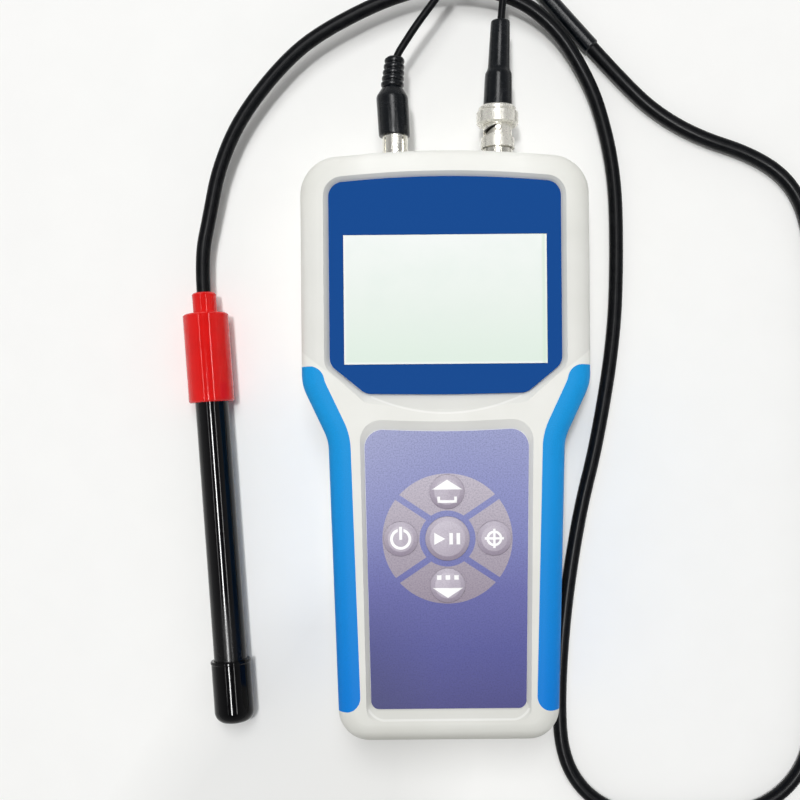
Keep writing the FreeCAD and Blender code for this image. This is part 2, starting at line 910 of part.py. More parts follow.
def make_bnc_jack():
    body = turned([
        (bnc_insulator_radius, -bnc_stem_length),
        (bnc_stem_radius, -bnc_stem_length),
        (bnc_stem_radius, 0),
        (bnc_flange_radius, 0),
        (bnc_flange_radius, bnc_flange_height),
        (bnc_barrel_radius, bnc_flange_height),
        (bnc_barrel_radius, bnc_barrel_length),
        (bnc_bore_radius, bnc_barrel_length),
        (bnc_bore_radius, bnc_bore_floor),
        (bnc_insulator_radius, bnc_bore_floor),
    ])
    root = (bnc_bore_radius + bnc_barrel_radius) / 2
    for way in (-1, 1):
        lug = Part.makeCylinder(bnc_lug_radius, bnc_lug_tip - root, V(0, way * root, bnc_lug_s), V(0, way, 0))
        body = body.fuse(lug)
    return body.removeSplitter()


def make_hex_nut(width, bore, low, height):
    corner = width / math.sqrt(3)
    points = [V(corner * math.cos(a), corner * math.sin(a), low) for a in [i * math.pi / 3 for i in range(6)]]
    nut = Part.Face(Part.makePolygon(points + points[:1])).extrude(V(0, 0, height))
    return nut.cut(post(0, 0, low, low + height, bore))


bnc_jack = make_bnc_jack()
export(along_y(bnc_jack, bnc_x), "bnc_jack_body")
bnc_insulator = ring(bnc_contact_radius, bnc_insulator_radius, -bnc_stem_length, bnc_insulator_length)
export(along_y(bnc_insulator, bnc_x), "bnc_jack_insulator")
contact = ring(0, bnc_contact_radius, -bnc_stem_length - bnc_contact_tail, bnc_insulator_length)
contact = contact.cut(ring(0, bnc_socket_radius, bnc_bore_floor, bnc_insulator_length))
export(along_y(contact, bnc_x), "bnc_jack_contact")
nut_low = -jack_pad_depth - bnc_nut_height
nut = make_hex_nut(bnc_nut_width, bnc_stem_radius, nut_low, bnc_nut_height)
export(along_y(nut, bnc_x), "bnc_jack_nut")

# Coaxial plug

ferrule_radius = bnc_bore_radius - ferrule_gap
plug_insulator_end = plug_flange_end


def make_plug_body():
    return turned([
        (ferrule_bore_radius, bnc_bore_floor + ferrule_end_gap),
        (ferrule_radius, bnc_bore_floor + ferrule_end_gap),
        (ferrule_radius, plug_flange_start),
        (plug_flange_radius, plug_flange_start),
        (plug_flange_radius, plug_flange_end),
        (plug_stem_radius, plug_flange_end),
        (plug_stem_radius, plug_stem_end),
        (plug_pin_radius, plug_stem_end),
        (plug_pin_radius, plug_insulator_end),
        (ferrule_bore_radius, plug_insulator_end),
    ])


export(along_y(make_plug_body(), bnc_x), "bnc_plug_body")
plug_insulator = ring(plug_pin_radius, ferrule_bore_radius, plug_insulator_start, plug_insulator_end)
export(along_y(plug_insulator, bnc_x), "bnc_plug_insulator")
plug_pin = ring(0, plug_pin_radius, plug_pin_start, plug_stem_end)
export(along_y(plug_pin, bnc_x), "bnc_plug_pin")


def bayonet_slot():
    """Cam slot for one lug: a helix from the locked place to the entry groove at the sleeve's mouth."""
    half = bnc_lug_radius + bayonet_slot_gap
    low_r = bnc_barrel_radius - bayonet_slot_gap
    high_r = bnc_lug_tip + bayonet_slot_depth
    sections = []
    for i in range(bayonet_steps + 1):
        share = i / bayonet_steps
        angle = math.radians(-90 - bayonet_turn * share)
        s = bnc_lug_s - bayonet_travel * share
        way = V(math.cos(angle), math.sin(angle), 0)
        corners = [way * low_r + V(0, 0, s - half), way * high_r + V(0, 0, s - half)]
        corners += [way * high_r + V(0, 0, s + half), way * low_r + V(0, 0, s + half)]
        sections.append(Part.makePolygon(corners + corners[:1]))
    helix = Part.makeLoft(sections, True, True)
    rest = Part.makeCylinder(half, high_r - low_r, V(0, -low_r, bnc_lug_s), V(0, -1, 0))
    entry = box(low_r, high_r, -half, half, sleeve_front - half, bnc_lug_s - bayonet_travel + half)
    entry.rotate(V(0, 0, 0), V(0, 0, 1), -90 - bayonet_turn)
    return helix.fuse([rest, entry])


def make_coupling_sleeve():
    """Bayonet sleeve: a rim at its mouth, a slotted barrel, the gripped ring and a stepped rear shoulder."""
    rear = sleeve_rear
    bore = bnc_barrel_radius + sleeve_bore_gap
    shell = turned([
        (0, sleeve_front),
        (sleeve_rim_radius, sleeve_front),
        (sleeve_rim_radius, sleeve_rim_end),
        (sleeve_barrel_radius, sleeve_rim_end),
        (sleeve_barrel_radius, sleeve_ring_start),
        (sleeve_ring_radius - sleeve_chamfer, sleeve_ring_start),
        (sleeve_ring_radius, sleeve_ring_start + sleeve_chamfer),
        (sleeve_ring_radius, sleeve_ring_end - sleeve_chamfer / 2),
        (sleeve_ring_radius - sleeve_chamfer / 2, sleeve_ring_end),
        (sleeve_rear_radius - sleeve_step, sleeve_ring_end),
        (sleeve_rear_radius - sleeve_step, sleeve_ring_end + sleeve_step),
        (sleeve_rear_radius, sleeve_ring_end + sleeve_step),
        (sleeve_rear_radius, rear - sleeve_chamfer),
        (sleeve_rear_radius - sleeve_chamfer, rear),
        (0, rear),
    ])
    pocket = turned([
        (0, sleeve_front),
        (bore, sleeve_front),
        (bore, plug_flange_start - sleeve_axial_gap),
        (plug_flange_radius + sleeve_flange_gap, plug_flange_start - sleeve_axial_gap),
        (plug_flange_radius + sleeve_flange_gap, plug_flange_end + sleeve_axial_gap),
        (plug_stem_radius + sleeve_neck_gap, plug_flange_end + sleeve_axial_gap),
        (plug_stem_radius + sleeve_neck_gap, rear),
        (0, rear),
    ])
    first = bayonet_slot()
    second = first.copy()
    second.rotate(V(0, 0, 0), V(0, 0, 1), 180)
    return shell.cut([pocket, first, second]).removeSplitter()


export(along_y(make_coupling_sleeve(), bnc_x), "bnc_coupling_sleeve")


def make_bnc_boot():
    start = sleeve_rear + boot_gap
    front, front_end, rear, rear_end = boot_radii
    boot = turned([
        (0, plug_stem_end),
        (plug_stem_radius, plug_stem_end),
        (plug_stem_radius, start),
        (front, start),
        (front_end, boot_step),
        (rear, boot_step + (front_end - rear) / 2),
        (rear_end, boot_end),
        (0, boot_end),
    ])
    return boot.cut(ring(0, lead_radius + lead_bore_gap, boot_end - boot_bore_depth, boot_end))


export(along_y(make_bnc_boot(), bnc_x), "bnc_boot")

# Temperature jack and plug

temp_flange_low = -jack_pad_depth - temp_flange_height


def make_temp_jack():
    return turned([
        (temp_bore_radius, temp_flange_low),
        (temp_flange_radius, temp_flange_low),
        (temp_flange_radius, -jack_pad_depth),
        (temp_stem_radius, -jack_pad_depth),
        (temp_stem_radius, 0),
        (temp_barrel_radius, 0),
        (temp_barrel_radius, temp_barrel_length),
        (temp_bore_radius, temp_barrel_length),
    ])


export(along_y(make_temp_jack(), temp_x), "temp_jack_body")
temp_jack_insulator = ring(temp_contact_radius, temp_bore_radius, temp_flange_low, temp_insulator_floor)
export(along_y(temp_jack_insulator, temp_x), "temp_jack_insulator")
temp_contact = ring(0, temp_contact_radius, temp_flange_low - temp_contact_tail, temp_contact_length)
temp_socket = ring(0, temp_pin_radius + temp_pin_gap, temp_sleeve_front, temp_contact_length)
temp_contact = temp_contact.cut(temp_socket)
export(along_y(temp_contact, temp_x), "temp_jack_contact")


def make_temp_sleeve():
    """Spring sleeve of the plug, split at its mouth."""
    bore = temp_barrel_radius + temp_sleeve_gap
    sleeve = ring(bore, temp_sleeve_radius, temp_sleeve_front, temp_sleeve_seat)
    half = temp_sleeve_slit / 2
    reach = temp_sleeve_radius * 2
    across = box(-reach, reach, -half, half, temp_sleeve_front, temp_boot_start)
    upright = box(-half, half, -reach, reach, temp_sleeve_front, temp_boot_start)
    for slit in (across, upright):
        slit.rotate(V(0, 0, 0), V(0, 0, 1), temp_sleeve_slit_angle)
        sleeve = sleeve.cut(slit)
    return sleeve


export(along_y(make_temp_sleeve(), temp_x), "temp_plug_sleeve")
temp_sleeve_bore = temp_barrel_radius + temp_sleeve_gap
temp_insulator = ring(temp_pin_radius, temp_sleeve_bore, temp_insulator_start, temp_sleeve_seat)
export(along_y(temp_insulator, temp_x), "temp_plug_insulator")
temp_pin = ring(0, temp_pin_radius, temp_sleeve_front + temp_pin_gap, temp_sleeve_seat)
export(along_y(temp_pin, temp_x), "temp_plug_pin")


def make_temp_boot():
    """Moulded boot: a stepped body, a shoulder and a ribbed tail that narrows to the lead."""
    profile = [
        (0, temp_sleeve_seat),
        (temp_sleeve_radius, temp_sleeve_seat),
        (temp_sleeve_radius, temp_boot_start),
        (temp_boot_front_radius, temp_boot_start),
        (temp_boot_radius, temp_boot_shoulder),
        (temp_tail_radius, temp_boot_neck),
    ]
    pitch = (temp_boot_end - temp_boot_neck) / (temp_tail_ribs + 2 * temp_rib_foot)
    for i in range(temp_tail_ribs):
        share = i / (temp_tail_ribs - 1)
        radius = temp_tail_radius + (temp_tail_end_radius - temp_tail_radius) * share
        groove = temp_boot_neck + pitch * (i + temp_rib_foot)
        groove_end = groove + pitch * temp_rib_groove
        land = groove_end + pitch * temp_rib_rise
        profile.append((radius - temp_rib_depth, groove))
        profile.append((radius - temp_rib_depth, groove_end))
        profile.append((radius, land))
        profile.append((radius, land + pitch * temp_rib_land))
    profile.append((temp_tail_end_radius, temp_boot_end))
    profile.append((0, temp_boot_end))
    boot = turned(profile)
    return boot.cut(ring(0, lead_radius + lead_bore_gap, temp_boot_end - temp_lead_depth, temp_boot_end))


export(along_y(make_temp_boot(), temp_x), "temp_plug_boot")

# Probe: lies on its collar, its cap a little clear of the table

probe_start = V(probe_start_x, probe_start_y, 0)
probe_end = V(probe_end_x, probe_end_y, 0)
probe_plan = probe_end - probe_start
probe_length = probe_plan.Length
cap_middle = probe_length - cap_length / 2
probe_drop = (collar_radius - cap_radius - cap_floor_height) / (cap_middle - collar_end)
probe_way = unit(unit(probe_plan) - V(0, 0, probe_drop))
probe_base = probe_start + V(0, 0, collar_radius + collar_end * probe_drop)
probe_place = FreeCAD.Placement(probe_base, FreeCAD.Rotation(V(0, 0, 1), probe_way))


def on_probe(shape):
    return shape.transformed(probe_place.toMatrix(), copy=True)


shaft_start = collar_end - shaft_seat
shaft_end = probe_length - shaft_end_gap
cell_end = shaft_end - cell_depth
cell_start = cell_end - cell_length_s
cell_radius_s = shaft_radius - shaft_wall
cap_start = probe_length - cap_length


def make_collar():
    return turned([
        (0, 0),
        (neck_radius - collar_chamfer, 0),
        (neck_radius, collar_chamfer),
        (neck_radius, neck_length),
        (collar_radius - collar_chamfer, neck_length),
        (collar_radius, neck_length + collar_chamfer),
        (collar_radius, collar_end - collar_chamfer),
        (collar_radius - collar_chamfer, collar_end),
        (shaft_radius, collar_end),
        (shaft_radius, shaft_start),
        (0, shaft_start),
    ])


def pins(radius, places, low, high):
    return [post(x, y, low, high, radius) for x, y in places]


electrode_places = [(-electrode_spread, 0), (electrode_spread, 0)]
sensor_places = [(0, sensor_offset)]
probe_cell = ring(0, cell_radius_s, cell_start, cell_end)
probe_cell = probe_cell.cut(pins(electrode_radius, electrode_places, cell_start, cell_end))
probe_cell = probe_cell.cut(pins(sensor_radius, sensor_places, cell_start, cell_end))
electrodes = pins(electrode_radius, electrode_places, cell_start, shaft_end - electrode_recess)
sensor = pins(sensor_radius, sensor_places, cell_start, shaft_end - sensor_recess)
export(on_probe(make_collar()), "probe_collar")
export(on_probe(ring(cell_radius_s, shaft_radius, shaft_start, shaft_end)), "probe_shaft")
export(on_probe(probe_cell), "probe_cell")
export(on_probe(Part.makeCompound(electrodes)), "cell_electrodes")
export(on_probe(sensor[0]), "temp_sensor")


def make_cap():
    """Push-on cap with a beaded mouth and a domed end."""
    cap = ring(0, cap_radius, cap_start, probe_length)
    end_edges = [e for e in cap.Edges if all(abs(p.Z - probe_length) < 1e-4 for p in e.Vertexes) and e.Closed]
    cap = cap.makeFillet(cap_end_radius, end_edges)
    bead = turned([
        (shaft_radius, cap_start),
        (cap_radius, cap_start),
        (cap_radius + cap_bead, cap_start + cap_bead_length / 3),
        (cap_radius + cap_bead, cap_start + cap_bead_length * 2 / 3),
        (cap_radius, cap_start + cap_bead_length),
        (shaft_radius, cap_start + cap_bead_length),
    ])
    bore_end = shaft_end + cap_end_gap
    hollow = ring(0, shaft_radius + cap_gap, cap_start, bore_end)
    hollow_end = ring(0, cap_radius - cap_end_radius + cap_wall / 2, bore_end, probe_length - cap_wall)
    return cap.fuse(bead).cut([hollow, hollow_end]).removeSplitter()


export(on_probe(make_cap()), "probe_cap")

# Cables: straight runs joined by tangent arcs, from points chosen along the route

on_table = cable_radius + table_gap
split_z = split_radius + table_gap


def cord(node, points, radius):
    """Round cord along the points; prints its length, its bend radii and how its volume compares."""
    edges = []
    radii = []
    start = points[0]
    for before, here, after in zip(points, points[1:], points[2:]):
        inward = unit(here - before)
        outward = unit(after - here)
        half_turn = inward.getAngle(outward) / 2
        reach = bend_share * min((here - before).Length, (after - here).Length)
        bend = reach / math.tan(half_turn)
        bisector = unit(outward - inward)
        middle = here + bisector * (bend / math.cos(half_turn) - bend)
        bend_start = here - inward * reach
        bend_end = here + outward * reach
        edges.append(Part.LineSegment(start, bend_start).toShape())
        edges.append(Part.Arc(bend_start, middle, bend_end).toShape())
        radii.append(round(bend, 1))
        start = bend_end
    edges.append(Part.LineSegment(start, points[-1]).toShape())
    path = Part.Wire(edges)
    circle = Part.Wire([Part.Circle(points[0], unit(points[1] - points[0]), radius).toShape()])
    tube = path.makePipeShell([circle], True, False)
    share = tube.Volume / (math.pi * radius * radius * path.Length)
    print(node, "length", round(path.Length, 1), "radii", radii, "volume share", round(share, 4))
    export(tube, node)
    return tube


cable_plan = [
    (-84.6, 82.9, 0.4),
    (-81.2, 100.4, 0),
    (-72.9, 118.7, 0),
    (-58.0, 137.7, 0),
    (-44.0, 149.1, 0),
    (-16.5, 162.3, 0),
    (4.1, 164.8, 0),
    (24.9, 158.9, 0),
    (39.3, 148.4, 0),
    (49.7, 135.8, 0),
    (56.7, 121.7, 0),
    (61.7, 97.2, 0),
    (61.9, 67.6, 0),
    (60.6, 37.7, 0),
    (54.1, 0.1, 0),
    (47.6, -24.6, 0),
    (41.9, -59.2, 0),
    (39.4, -92.7, 0),
    (40.7, -113.1, 0),
    (49.1, -126.9, 0),
    (63.4, -134.4, 0),
    (86.0, -135.6, 0),
    (109.3, -133.0, 0),
    (122.0, -125.1, 0),
    (130.0, -112.4, 0),
    (132.4, -90.6, 0),
    (134.5, -58.0, 0),
    (135.3, -20.0, 0),
    (135.0, 18.0, 0),
    (133.7, 52.0, 0),
    (131.2, 80.0, 0),
    (124.3, 94.4, 0),
    (111.2, 103.6, 0),
    (91.5, 110.2, 0),
    (77.0, 118.6, 0),
]
cable_points = [V(x, y, on_table + rise) for x, y, rise in cable_plan]
split_start = V(split_start_x, split_start_y, 0)
split_end = V(split_end_x, split_end_y, 0)
split_way = unit(split_end - split_start)
split_side = V(split_way.y, -split_way.x, 0)
split_foot = split_start + V(0, 0, split_z)
cable_points = [probe_base, probe_base - probe_way * collar_run] + cable_points
cable_points += [split_foot - split_way * split_run, split_foot]
cord("probe_cable", cable_points, cable_radius)


def make_split_sleeve():
    """Shrunk sleeve where the cable divides into the two leads, its edges bevelled."""
    length = (split_end - split_start).Length
    tube = Part.makeCylinder(split_radius, length, split_foot, split_way)
    rims = [e for e in tube.Edges if e.Closed]
    return tube.makeChamfer(split_edge, rims)


export(make_split_sleeve(), "split_sleeve")

split_mouth = split_end + V(0, 0, split_z)
bnc_lead_end = split_mouth - split_side * lead_spread
temp_lead_end = split_mouth + split_side * lead_spread
bnc_lead_start_y = seat_y + boot_end - bnc_lead_engagement
temp_lead_start_y = seat_y + temp_boot_end - temp_lead_depth

bnc_lead_points = [
    V(bnc_x, bnc_lead_start_y, parting_height),
    V(bnc_x, 163.3, parting_height),
    V(23.1, 169.3, 13.5),
    V(29.1, 170.0, 8.0),
    bnc_lead_end + split_way * lead_run,
    bnc_lead_end,
]
cord("bnc_lead", bnc_lead_points, lead_radius)

temp_lead_points = [
    V(temp_x, temp_lead_start_y, parting_height),
    V(temp_x, 139.0, parting_height),
    V(-11.2, 144.8, 18.2),
    V(-3.9, 153.4, 18.6),
    V(3.9, 163.5, 17.8),
    V(12.0, 171.9, 14.5),
    V(22.0, 177.3, 10.5),
    V(30.1, 173.5, 6.5),
    temp_lead_end + split_way * lead_run,
    temp_lead_end,
]
cord("temp_lead", temp_lead_points, lead_radius)

print("probe axis", [round(v, 5) for v in probe_way], "from", [round(v, 3) for v in probe_base])
print("seat y", seat_y, "cover top y", round(cover_top_y, 3), "bay", round(bay_half, 3), round(bay_top_y, 3))
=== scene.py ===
# %% [markdown]
# # A handheld conductivity meter and its probe
# This notebook dresses a finished CAD model of a laboratory instrument: a moulded case with rubber sides, a
# display, five keys, two plugs and a probe on a long cable. The shapes that carry and move are already there,
# so each step below asks the same question: what is this piece made of, and what does light do on it?

# %% Load the model that everything is fitted to
import bpy
import math
from mathutils import Matrix, Vector


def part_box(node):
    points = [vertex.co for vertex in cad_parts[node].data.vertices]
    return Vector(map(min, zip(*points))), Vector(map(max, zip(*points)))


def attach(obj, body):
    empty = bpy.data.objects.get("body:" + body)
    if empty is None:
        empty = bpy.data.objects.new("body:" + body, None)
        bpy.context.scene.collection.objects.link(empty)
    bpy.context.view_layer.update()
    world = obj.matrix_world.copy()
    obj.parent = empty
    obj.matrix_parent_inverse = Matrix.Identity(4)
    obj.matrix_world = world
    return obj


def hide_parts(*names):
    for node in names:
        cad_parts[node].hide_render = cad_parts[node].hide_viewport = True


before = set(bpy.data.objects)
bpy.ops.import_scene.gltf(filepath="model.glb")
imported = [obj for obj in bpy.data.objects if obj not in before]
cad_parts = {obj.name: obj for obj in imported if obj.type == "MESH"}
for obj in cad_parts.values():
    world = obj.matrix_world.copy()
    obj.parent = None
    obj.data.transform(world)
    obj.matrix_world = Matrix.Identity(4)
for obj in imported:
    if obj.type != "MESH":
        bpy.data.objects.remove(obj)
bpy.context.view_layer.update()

MM = 0.001
MM_PER_METRE = 1000.0


def box_mm(node):
    """Lowest and highest corner of a node, in millimetres."""
    low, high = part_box(node)
    return low * MM_PER_METRE, high * MM_PER_METRE


# %% [markdown]
# ## The camera
# The picture is taken from straight above, so the camera hangs over the middle of the case's back and looks
# down. How wide it sees is worked out from how large the case looks near the table and near the display,
# because only one distance gives both. The object sits off centre in the picture. A shifted lens moves it there
# without tilting the camera, which would make the sides of the case converge.

# %% Camera
PICTURE = 800
SENSOR_WIDTH = 36.0
CAMERA_HEIGHT = 0.420
PIXELS_PER_SLOPE = 1158.0
AXIS_PIXEL = (446.7, 444.75)
CAMERA_ROLL = 0.5

camera_data = bpy.data.cameras.new("camera")
camera = bpy.data.objects.new("camera", camera_data)
bpy.context.scene.collection.objects.link(camera)
bpy.context.scene.camera = camera
camera.location = (0, 0, CAMERA_HEIGHT)
camera.rotation_euler = (0, 0, math.radians(-CAMERA_ROLL))
camera_data.sensor_width = SENSOR_WIDTH
camera_data.lens = PIXELS_PER_SLOPE / PICTURE * SENSOR_WIDTH
camera_data.shift_x = 0.5 - AXIS_PIXEL[0] / PICTURE
camera_data.shift_y = AXIS_PIXEL[1] / PICTURE - 0.5
camera_data.clip_start = 0.01
bpy.context.scene.view_settings.view_transform = "Standard"
print("lens", round(camera_data.lens, 1), "mm")

# %% [markdown]
# ## Reading shader maths as arithmetic
# A pattern on a surface is a sum: distance from a line, minus half its width, clamped. In the node editor that
# is a dozen boxes. A small class that wraps a socket and overloads + - * / turns it back into a line that can
# be read, and each expression quietly adds its Math nodes to the material.

# %% A value that comes out of a node
class Value:
    """A number, colour or vector on its way from one node to the next."""

    def __init__(self, finish, socket):
        self.finish = finish
        self.socket = socket

    def maths(self, operation, *others):
        return self.finish.node("ShaderNodeMath", {"operation": operation}, [self, *others])

    def __add__(self, other):
        return self.maths("ADD", other)

    __radd__ = __add__

    def __sub__(self, other):
        return self.maths("SUBTRACT", other)

    def __rsub__(self, other):
        return self.finish.node("ShaderNodeMath", {"operation": "SUBTRACT"}, [other, self])

    def __mul__(self, other):
        return self.maths("MULTIPLY", other)

    __rmul__ = __mul__

    def __truediv__(self, other):
        return self.maths("DIVIDE", other)

    def __abs__(self):
        return self.maths("ABSOLUTE")

    def root(self):
        return self.maths("SQRT")

    def least(self, other):
        return self.maths("MINIMUM", other)

    def most(self, other):
        return self.maths("MAXIMUM", other)

    def between(self, low, high):
        """0 at low and 1 at high, straight in between; low may be the larger."""
        return self.finish.node(
            "ShaderNodeMapRange",
            {"clamp": True},
            {"Value": self, "From Min": low, "From Max": high, "To Min": 0.0, "To Max": 1.0},
        )


# %% [markdown]
# A material starts from the Principled shader. `node` adds any node: its settings first, such as a Math node's
# operation, then the numbers or links of its sockets. The helpers under it name the few nodes used most. Some
# nodes have several sockets of one name, so those are picked by number: the Mix node keeps a set for each kind
# of data, and the numbers below are its colour set.

# %% A material that is built node by node
OBJECT_OUTPUT = 3
MIX_FACTOR, MIX_FIRST, MIX_SECOND, MIX_OUTPUT = 0, 6, 7, 2


class Finish:
    """A procedural material on the Principled shader."""

    def __init__(self, name, colour, roughness=0.5, **sockets):
        self.material = bpy.data.materials.new(name)
        self.material.use_nodes = True
        self.tree = self.material.node_tree
        self.shader = self.tree.nodes["Principled BSDF"]
        self.material.diffuse_color = (*colour[:3], 1.0)
        self.feed(self.shader.inputs["Base Color"], (*colour[:3], 1.0))
        self.feed(self.shader.inputs["Roughness"], roughness)
        for socket, value in sockets.items():
            self.feed(self.shader.inputs[socket.replace("_", " ")], value)

    def feed(self, socket, value):
        if isinstance(value, Value):
            self.tree.links.new(value.socket, socket)
        else:
            socket.default_value = value

    def node(self, kind, settings=None, sockets=(), output=0):
        made = self.tree.nodes.new(kind)
        for name, value in (settings or {}).items():
            if name == "stops":
                self.set_stops(made.color_ramp, value)
            else:
                setattr(made, name, value)
        entries = sockets.items() if isinstance(sockets, dict) else enumerate(sockets)
        for key, value in entries:
            self.feed(made.inputs[key], value)
        return Value(self, made.outputs[output])

    @staticmethod
    def set_stops(ramp, stops):
        while len(ramp.elements) < len(stops):
            ramp.elements.new(0.5)
        for element, (place, colour) in zip(ramp.elements, stops):
            element.position = place
            element.color = (*colour[:3], 1.0)

    def point(self):
        """Object coordinates, in metres."""
        return self.node("ShaderNodeTexCoord", output=OBJECT_OUTPUT)

    def place(self):
        """X, Y and Z of the Object coordinates, in millimetres."""
        split = self.tree.nodes.new("ShaderNodeSeparateXYZ")
        self.feed(split.inputs[0], self.point())
        return [Value(self, output) * MM_PER_METRE for output in split.outputs]

    def noise(self, size, detail=2.0, rough=0.5, stretch=None):
        """Noise from 0 to 1 whose lumps are about the size in millimetres."""
        point = self.point()
        if stretch:
            point = self.node("ShaderNodeVectorMath", {"operation": "MULTIPLY"}, [point, stretch])
        sockets = {"Vector": point, "Scale": MM_PER_METRE / size, "Detail": detail, "Roughness": rough}
        return self.node("ShaderNodeTexNoise", {"noise_dimensions": "3D"}, sockets)

    def mix(self, share, first, second, blend="MIX"):
        first = first if isinstance(first, Value) else (*first[:3], 1.0)
        second = second if isinstance(second, Value) else (*second[:3], 1.0)
        settings = {"data_type": "RGBA", "blend_type": blend, "clamp_factor": True}
        sockets = {MIX_FACTOR: share, MIX_FIRST: first, MIX_SECOND: second}
        return self.node("ShaderNodeMix", settings, sockets, output=MIX_OUTPUT)

    def ramp(self, share, stops):
        return self.node("ShaderNodeValToRGB", {"stops": stops}, [share])

    def bump(self, height, depth):
        """Surface relief: a height from 0 to 1, times a depth in millimetres."""
        return self.node("ShaderNodeBump", None, {"Height": height, "Distance": depth * MM})

    def colour(self, value):
        self.feed(self.shader.inputs["Base Color"], value)

    def roughness(self, value):
        self.feed(self.shader.inputs["Roughness"], value)

    def normal(self, value):
        self.feed(self.shader.inputs["Normal"], value)


def seen(red, green, blue):
    """A colour as a screen shows it, from 0 to 255, as the linear colour that shaders take."""
    shares = [channel / 255 for channel in (red, green, blue)]
    return tuple(s / 12.92 if s <= 0.04045 else ((s + 0.055) / 1.055) ** 2.4 for s in shares)


# %% [markdown]
# ## Moulded plastic
# The case is injection moulded in a pale warm grey. The steel mould is spark eroded, which leaves a fine even
# grain that scatters the highlight. Two noises do it: a fine one lifts the surface a few microns, and a broad,
# faint one varies colour and gloss, as handling does.

# %% Plastic with a moulded grain
HANDLED_TINT = (0.864, 0.864, 0.8448)


def moulded(name, colour, grain=0.16, depth=0.012, gloss=0.42, painted_tones=None):
    """Grain and its depth are in millimetres; the last argument, where it is given, paints light and shade into
    the colour from place to place.
    """
    finish = Finish(name, colour, gloss, Specular_IOR_Level=0.12)
    broad = finish.noise(22.0, 3.0)
    fine = finish.noise(grain, 1.0)
    base = painted_tones(finish) if painted_tones else colour
    finish.colour(finish.mix(broad.between(0.35, 0.7) * 0.4, base, HANDLED_TINT, "MULTIPLY"))
    finish.roughness(gloss + (broad - 0.5) * 0.12 + (fine - 0.5) * 0.10)
    finish.normal(finish.bump(fine, depth))
    return finish.material


def tell(*materials):
    for material in materials:
        print(material.name, "-", len(material.node_tree.nodes), "nodes")


# %% [markdown]
# The case's colour carries painted light and shade. It is painted palest at the head and greyer towards the foot,
# as the light falls off, with painted shade where the wall turns down at the foot, on the slopes of the recess
# round the display and on the top corners. The rims that stand up, one across the waist and one round the
# keypad's foot, carry painted highlights. Each tone is a mask made from the place in millimetres, and the rims
# are distances: from a shallow curve, and from a rounded corner.

# %% Case plastic
WAIST_Y = 10.8
WAIST_CURVE = 0.0089
FOOT_CORNER_X = 21.3
FOOT_CORNER_Y = -85.5
FOOT_CORNER_RADIUS = 6.0
OUT_OF_REACH = 9.0


def handling(finish):
    """Painted light and shade on the case: shade on the slopes round the display, the edge of the foot and the
    top corners, and highlights on the rims.
    """
    x, y, _ = finish.place()
    # Painted shade: palest at the head and greyer towards the foot, as the light falls off.
    tone = finish.mix(y.between(100.0, -100.0), seen(249, 249, 244), seen(222, 222, 216))
    past_waist = y - x * x * WAIST_CURVE - WAIST_Y
    # Painted shade on the slopes of the recess round the display.
    recess_shade = past_waist.between(-0.3, 0.3) * y.between(84.0, 70.0)
    tone = finish.mix(recess_shade * 0.5, tone, seen(220, 220, 215))
    # Painted shade where the wall turns down at the foot.
    foot_edge_shade = y.between(-95.5, -99.5)
    tone = finish.mix(foot_edge_shade * 0.6, tone, seen(165, 163, 155))
    # Painted shade on the rounded top corners.
    top_corner_shade = abs(x).between(26.0, 46.0) * y.between(62.0, 86.0)
    tone = finish.mix(top_corner_shade * 0.8, tone, seen(222, 222, 215))
    # Painted highlights on the rims across the waist and round the keypad's foot.
    beyond_x = (abs(x) - FOOT_CORNER_X).most(0.0)
    beyond_y = (FOOT_CORNER_Y - y).most(0.0)
    from_corner = abs((beyond_x * beyond_x + beyond_y * beyond_y).root() - FOOT_CORNER_RADIUS)
    foot_rim = from_corner + y.between(-88.0, -86.0) * OUT_OF_REACH
    waist_rim = abs(past_waist + 0.2) + abs(x).between(25.0, 27.5) * OUT_OF_REACH
    rim_highlights = foot_rim.least(waist_rim).between(0.45, 0.2)
    return finish.mix(rim_highlights * 0.5, tone, seen(253, 253, 250))


case_plastic = moulded("case plastic", seen(248, 248, 243), painted_tones=handling)
tell(case_plastic)

# %% [markdown]
# ## Rubber grips
# The blue sides are soft rubber moulded over the case. The grain is coarser than the plastic's, with dark pits,
# and the sheen is duller. The colour is painted a little deeper towards the foot, as painted shade where less
# light reaches.

# %% Grip rubber
def rubber(name, colour, foot_shade_colour, grain=0.35, depth=0.03, gloss=0.55):
    """Matt rubber, painted darker towards the foot as painted shade; grain and depth are in millimetres."""
    finish = Finish(name, colour, gloss, Specular_IOR_Level=0.08)
    _, y, _ = finish.place()
    fine = finish.noise(grain, 2.0, 0.6)
    broad = finish.noise(14.0, 2.0)
    # Painted shade: the colour darkens towards the foot.
    base = finish.mix(y.between(10.0, -95.0), colour, foot_shade_colour)
    pits = (fine.between(0.35, 0.75) + broad * 0.3) * 0.22
    finish.colour(finish.mix(pits, base, tuple(c * 0.45 for c in colour)))
    finish.roughness(gloss + (fine - 0.5) * 0.25)
    finish.normal(finish.bump(fine, depth))
    return finish.material


grip_rubber = rubber("grip rubber", seen(28, 158, 231), seen(15, 126, 222))
tell(grip_rubber)

# %% [markdown]
# ## The display
# The blue surround is printed on the back of a clear sheet, so it looks deep, even and slightly glossy. The
# window is the same sheet with no print, and behind it lies the liquid crystal cell with its pale green
# polariser, switched off. A clear window would cost many bounces of light and show no more, so the window
# wears the look of the cell, and the cell under it wears the same.

# %% Printed panel
def printed_panel():
    finish = Finish("printed panel", seen(27, 76, 145), 0.5, Specular_IOR_Level=0.02)
    grain = finish.noise(0.25, 2.0)
    finish.colour(finish.mix(grain.between(0.3, 0.8) * 0.25, seen(20, 75, 147), seen(18, 69, 139)))
    finish.normal(finish.bump(finish.noise(6.0, 2.0), 0.004))
    return finish.material


panel_print = printed_panel()
tell(panel_print)

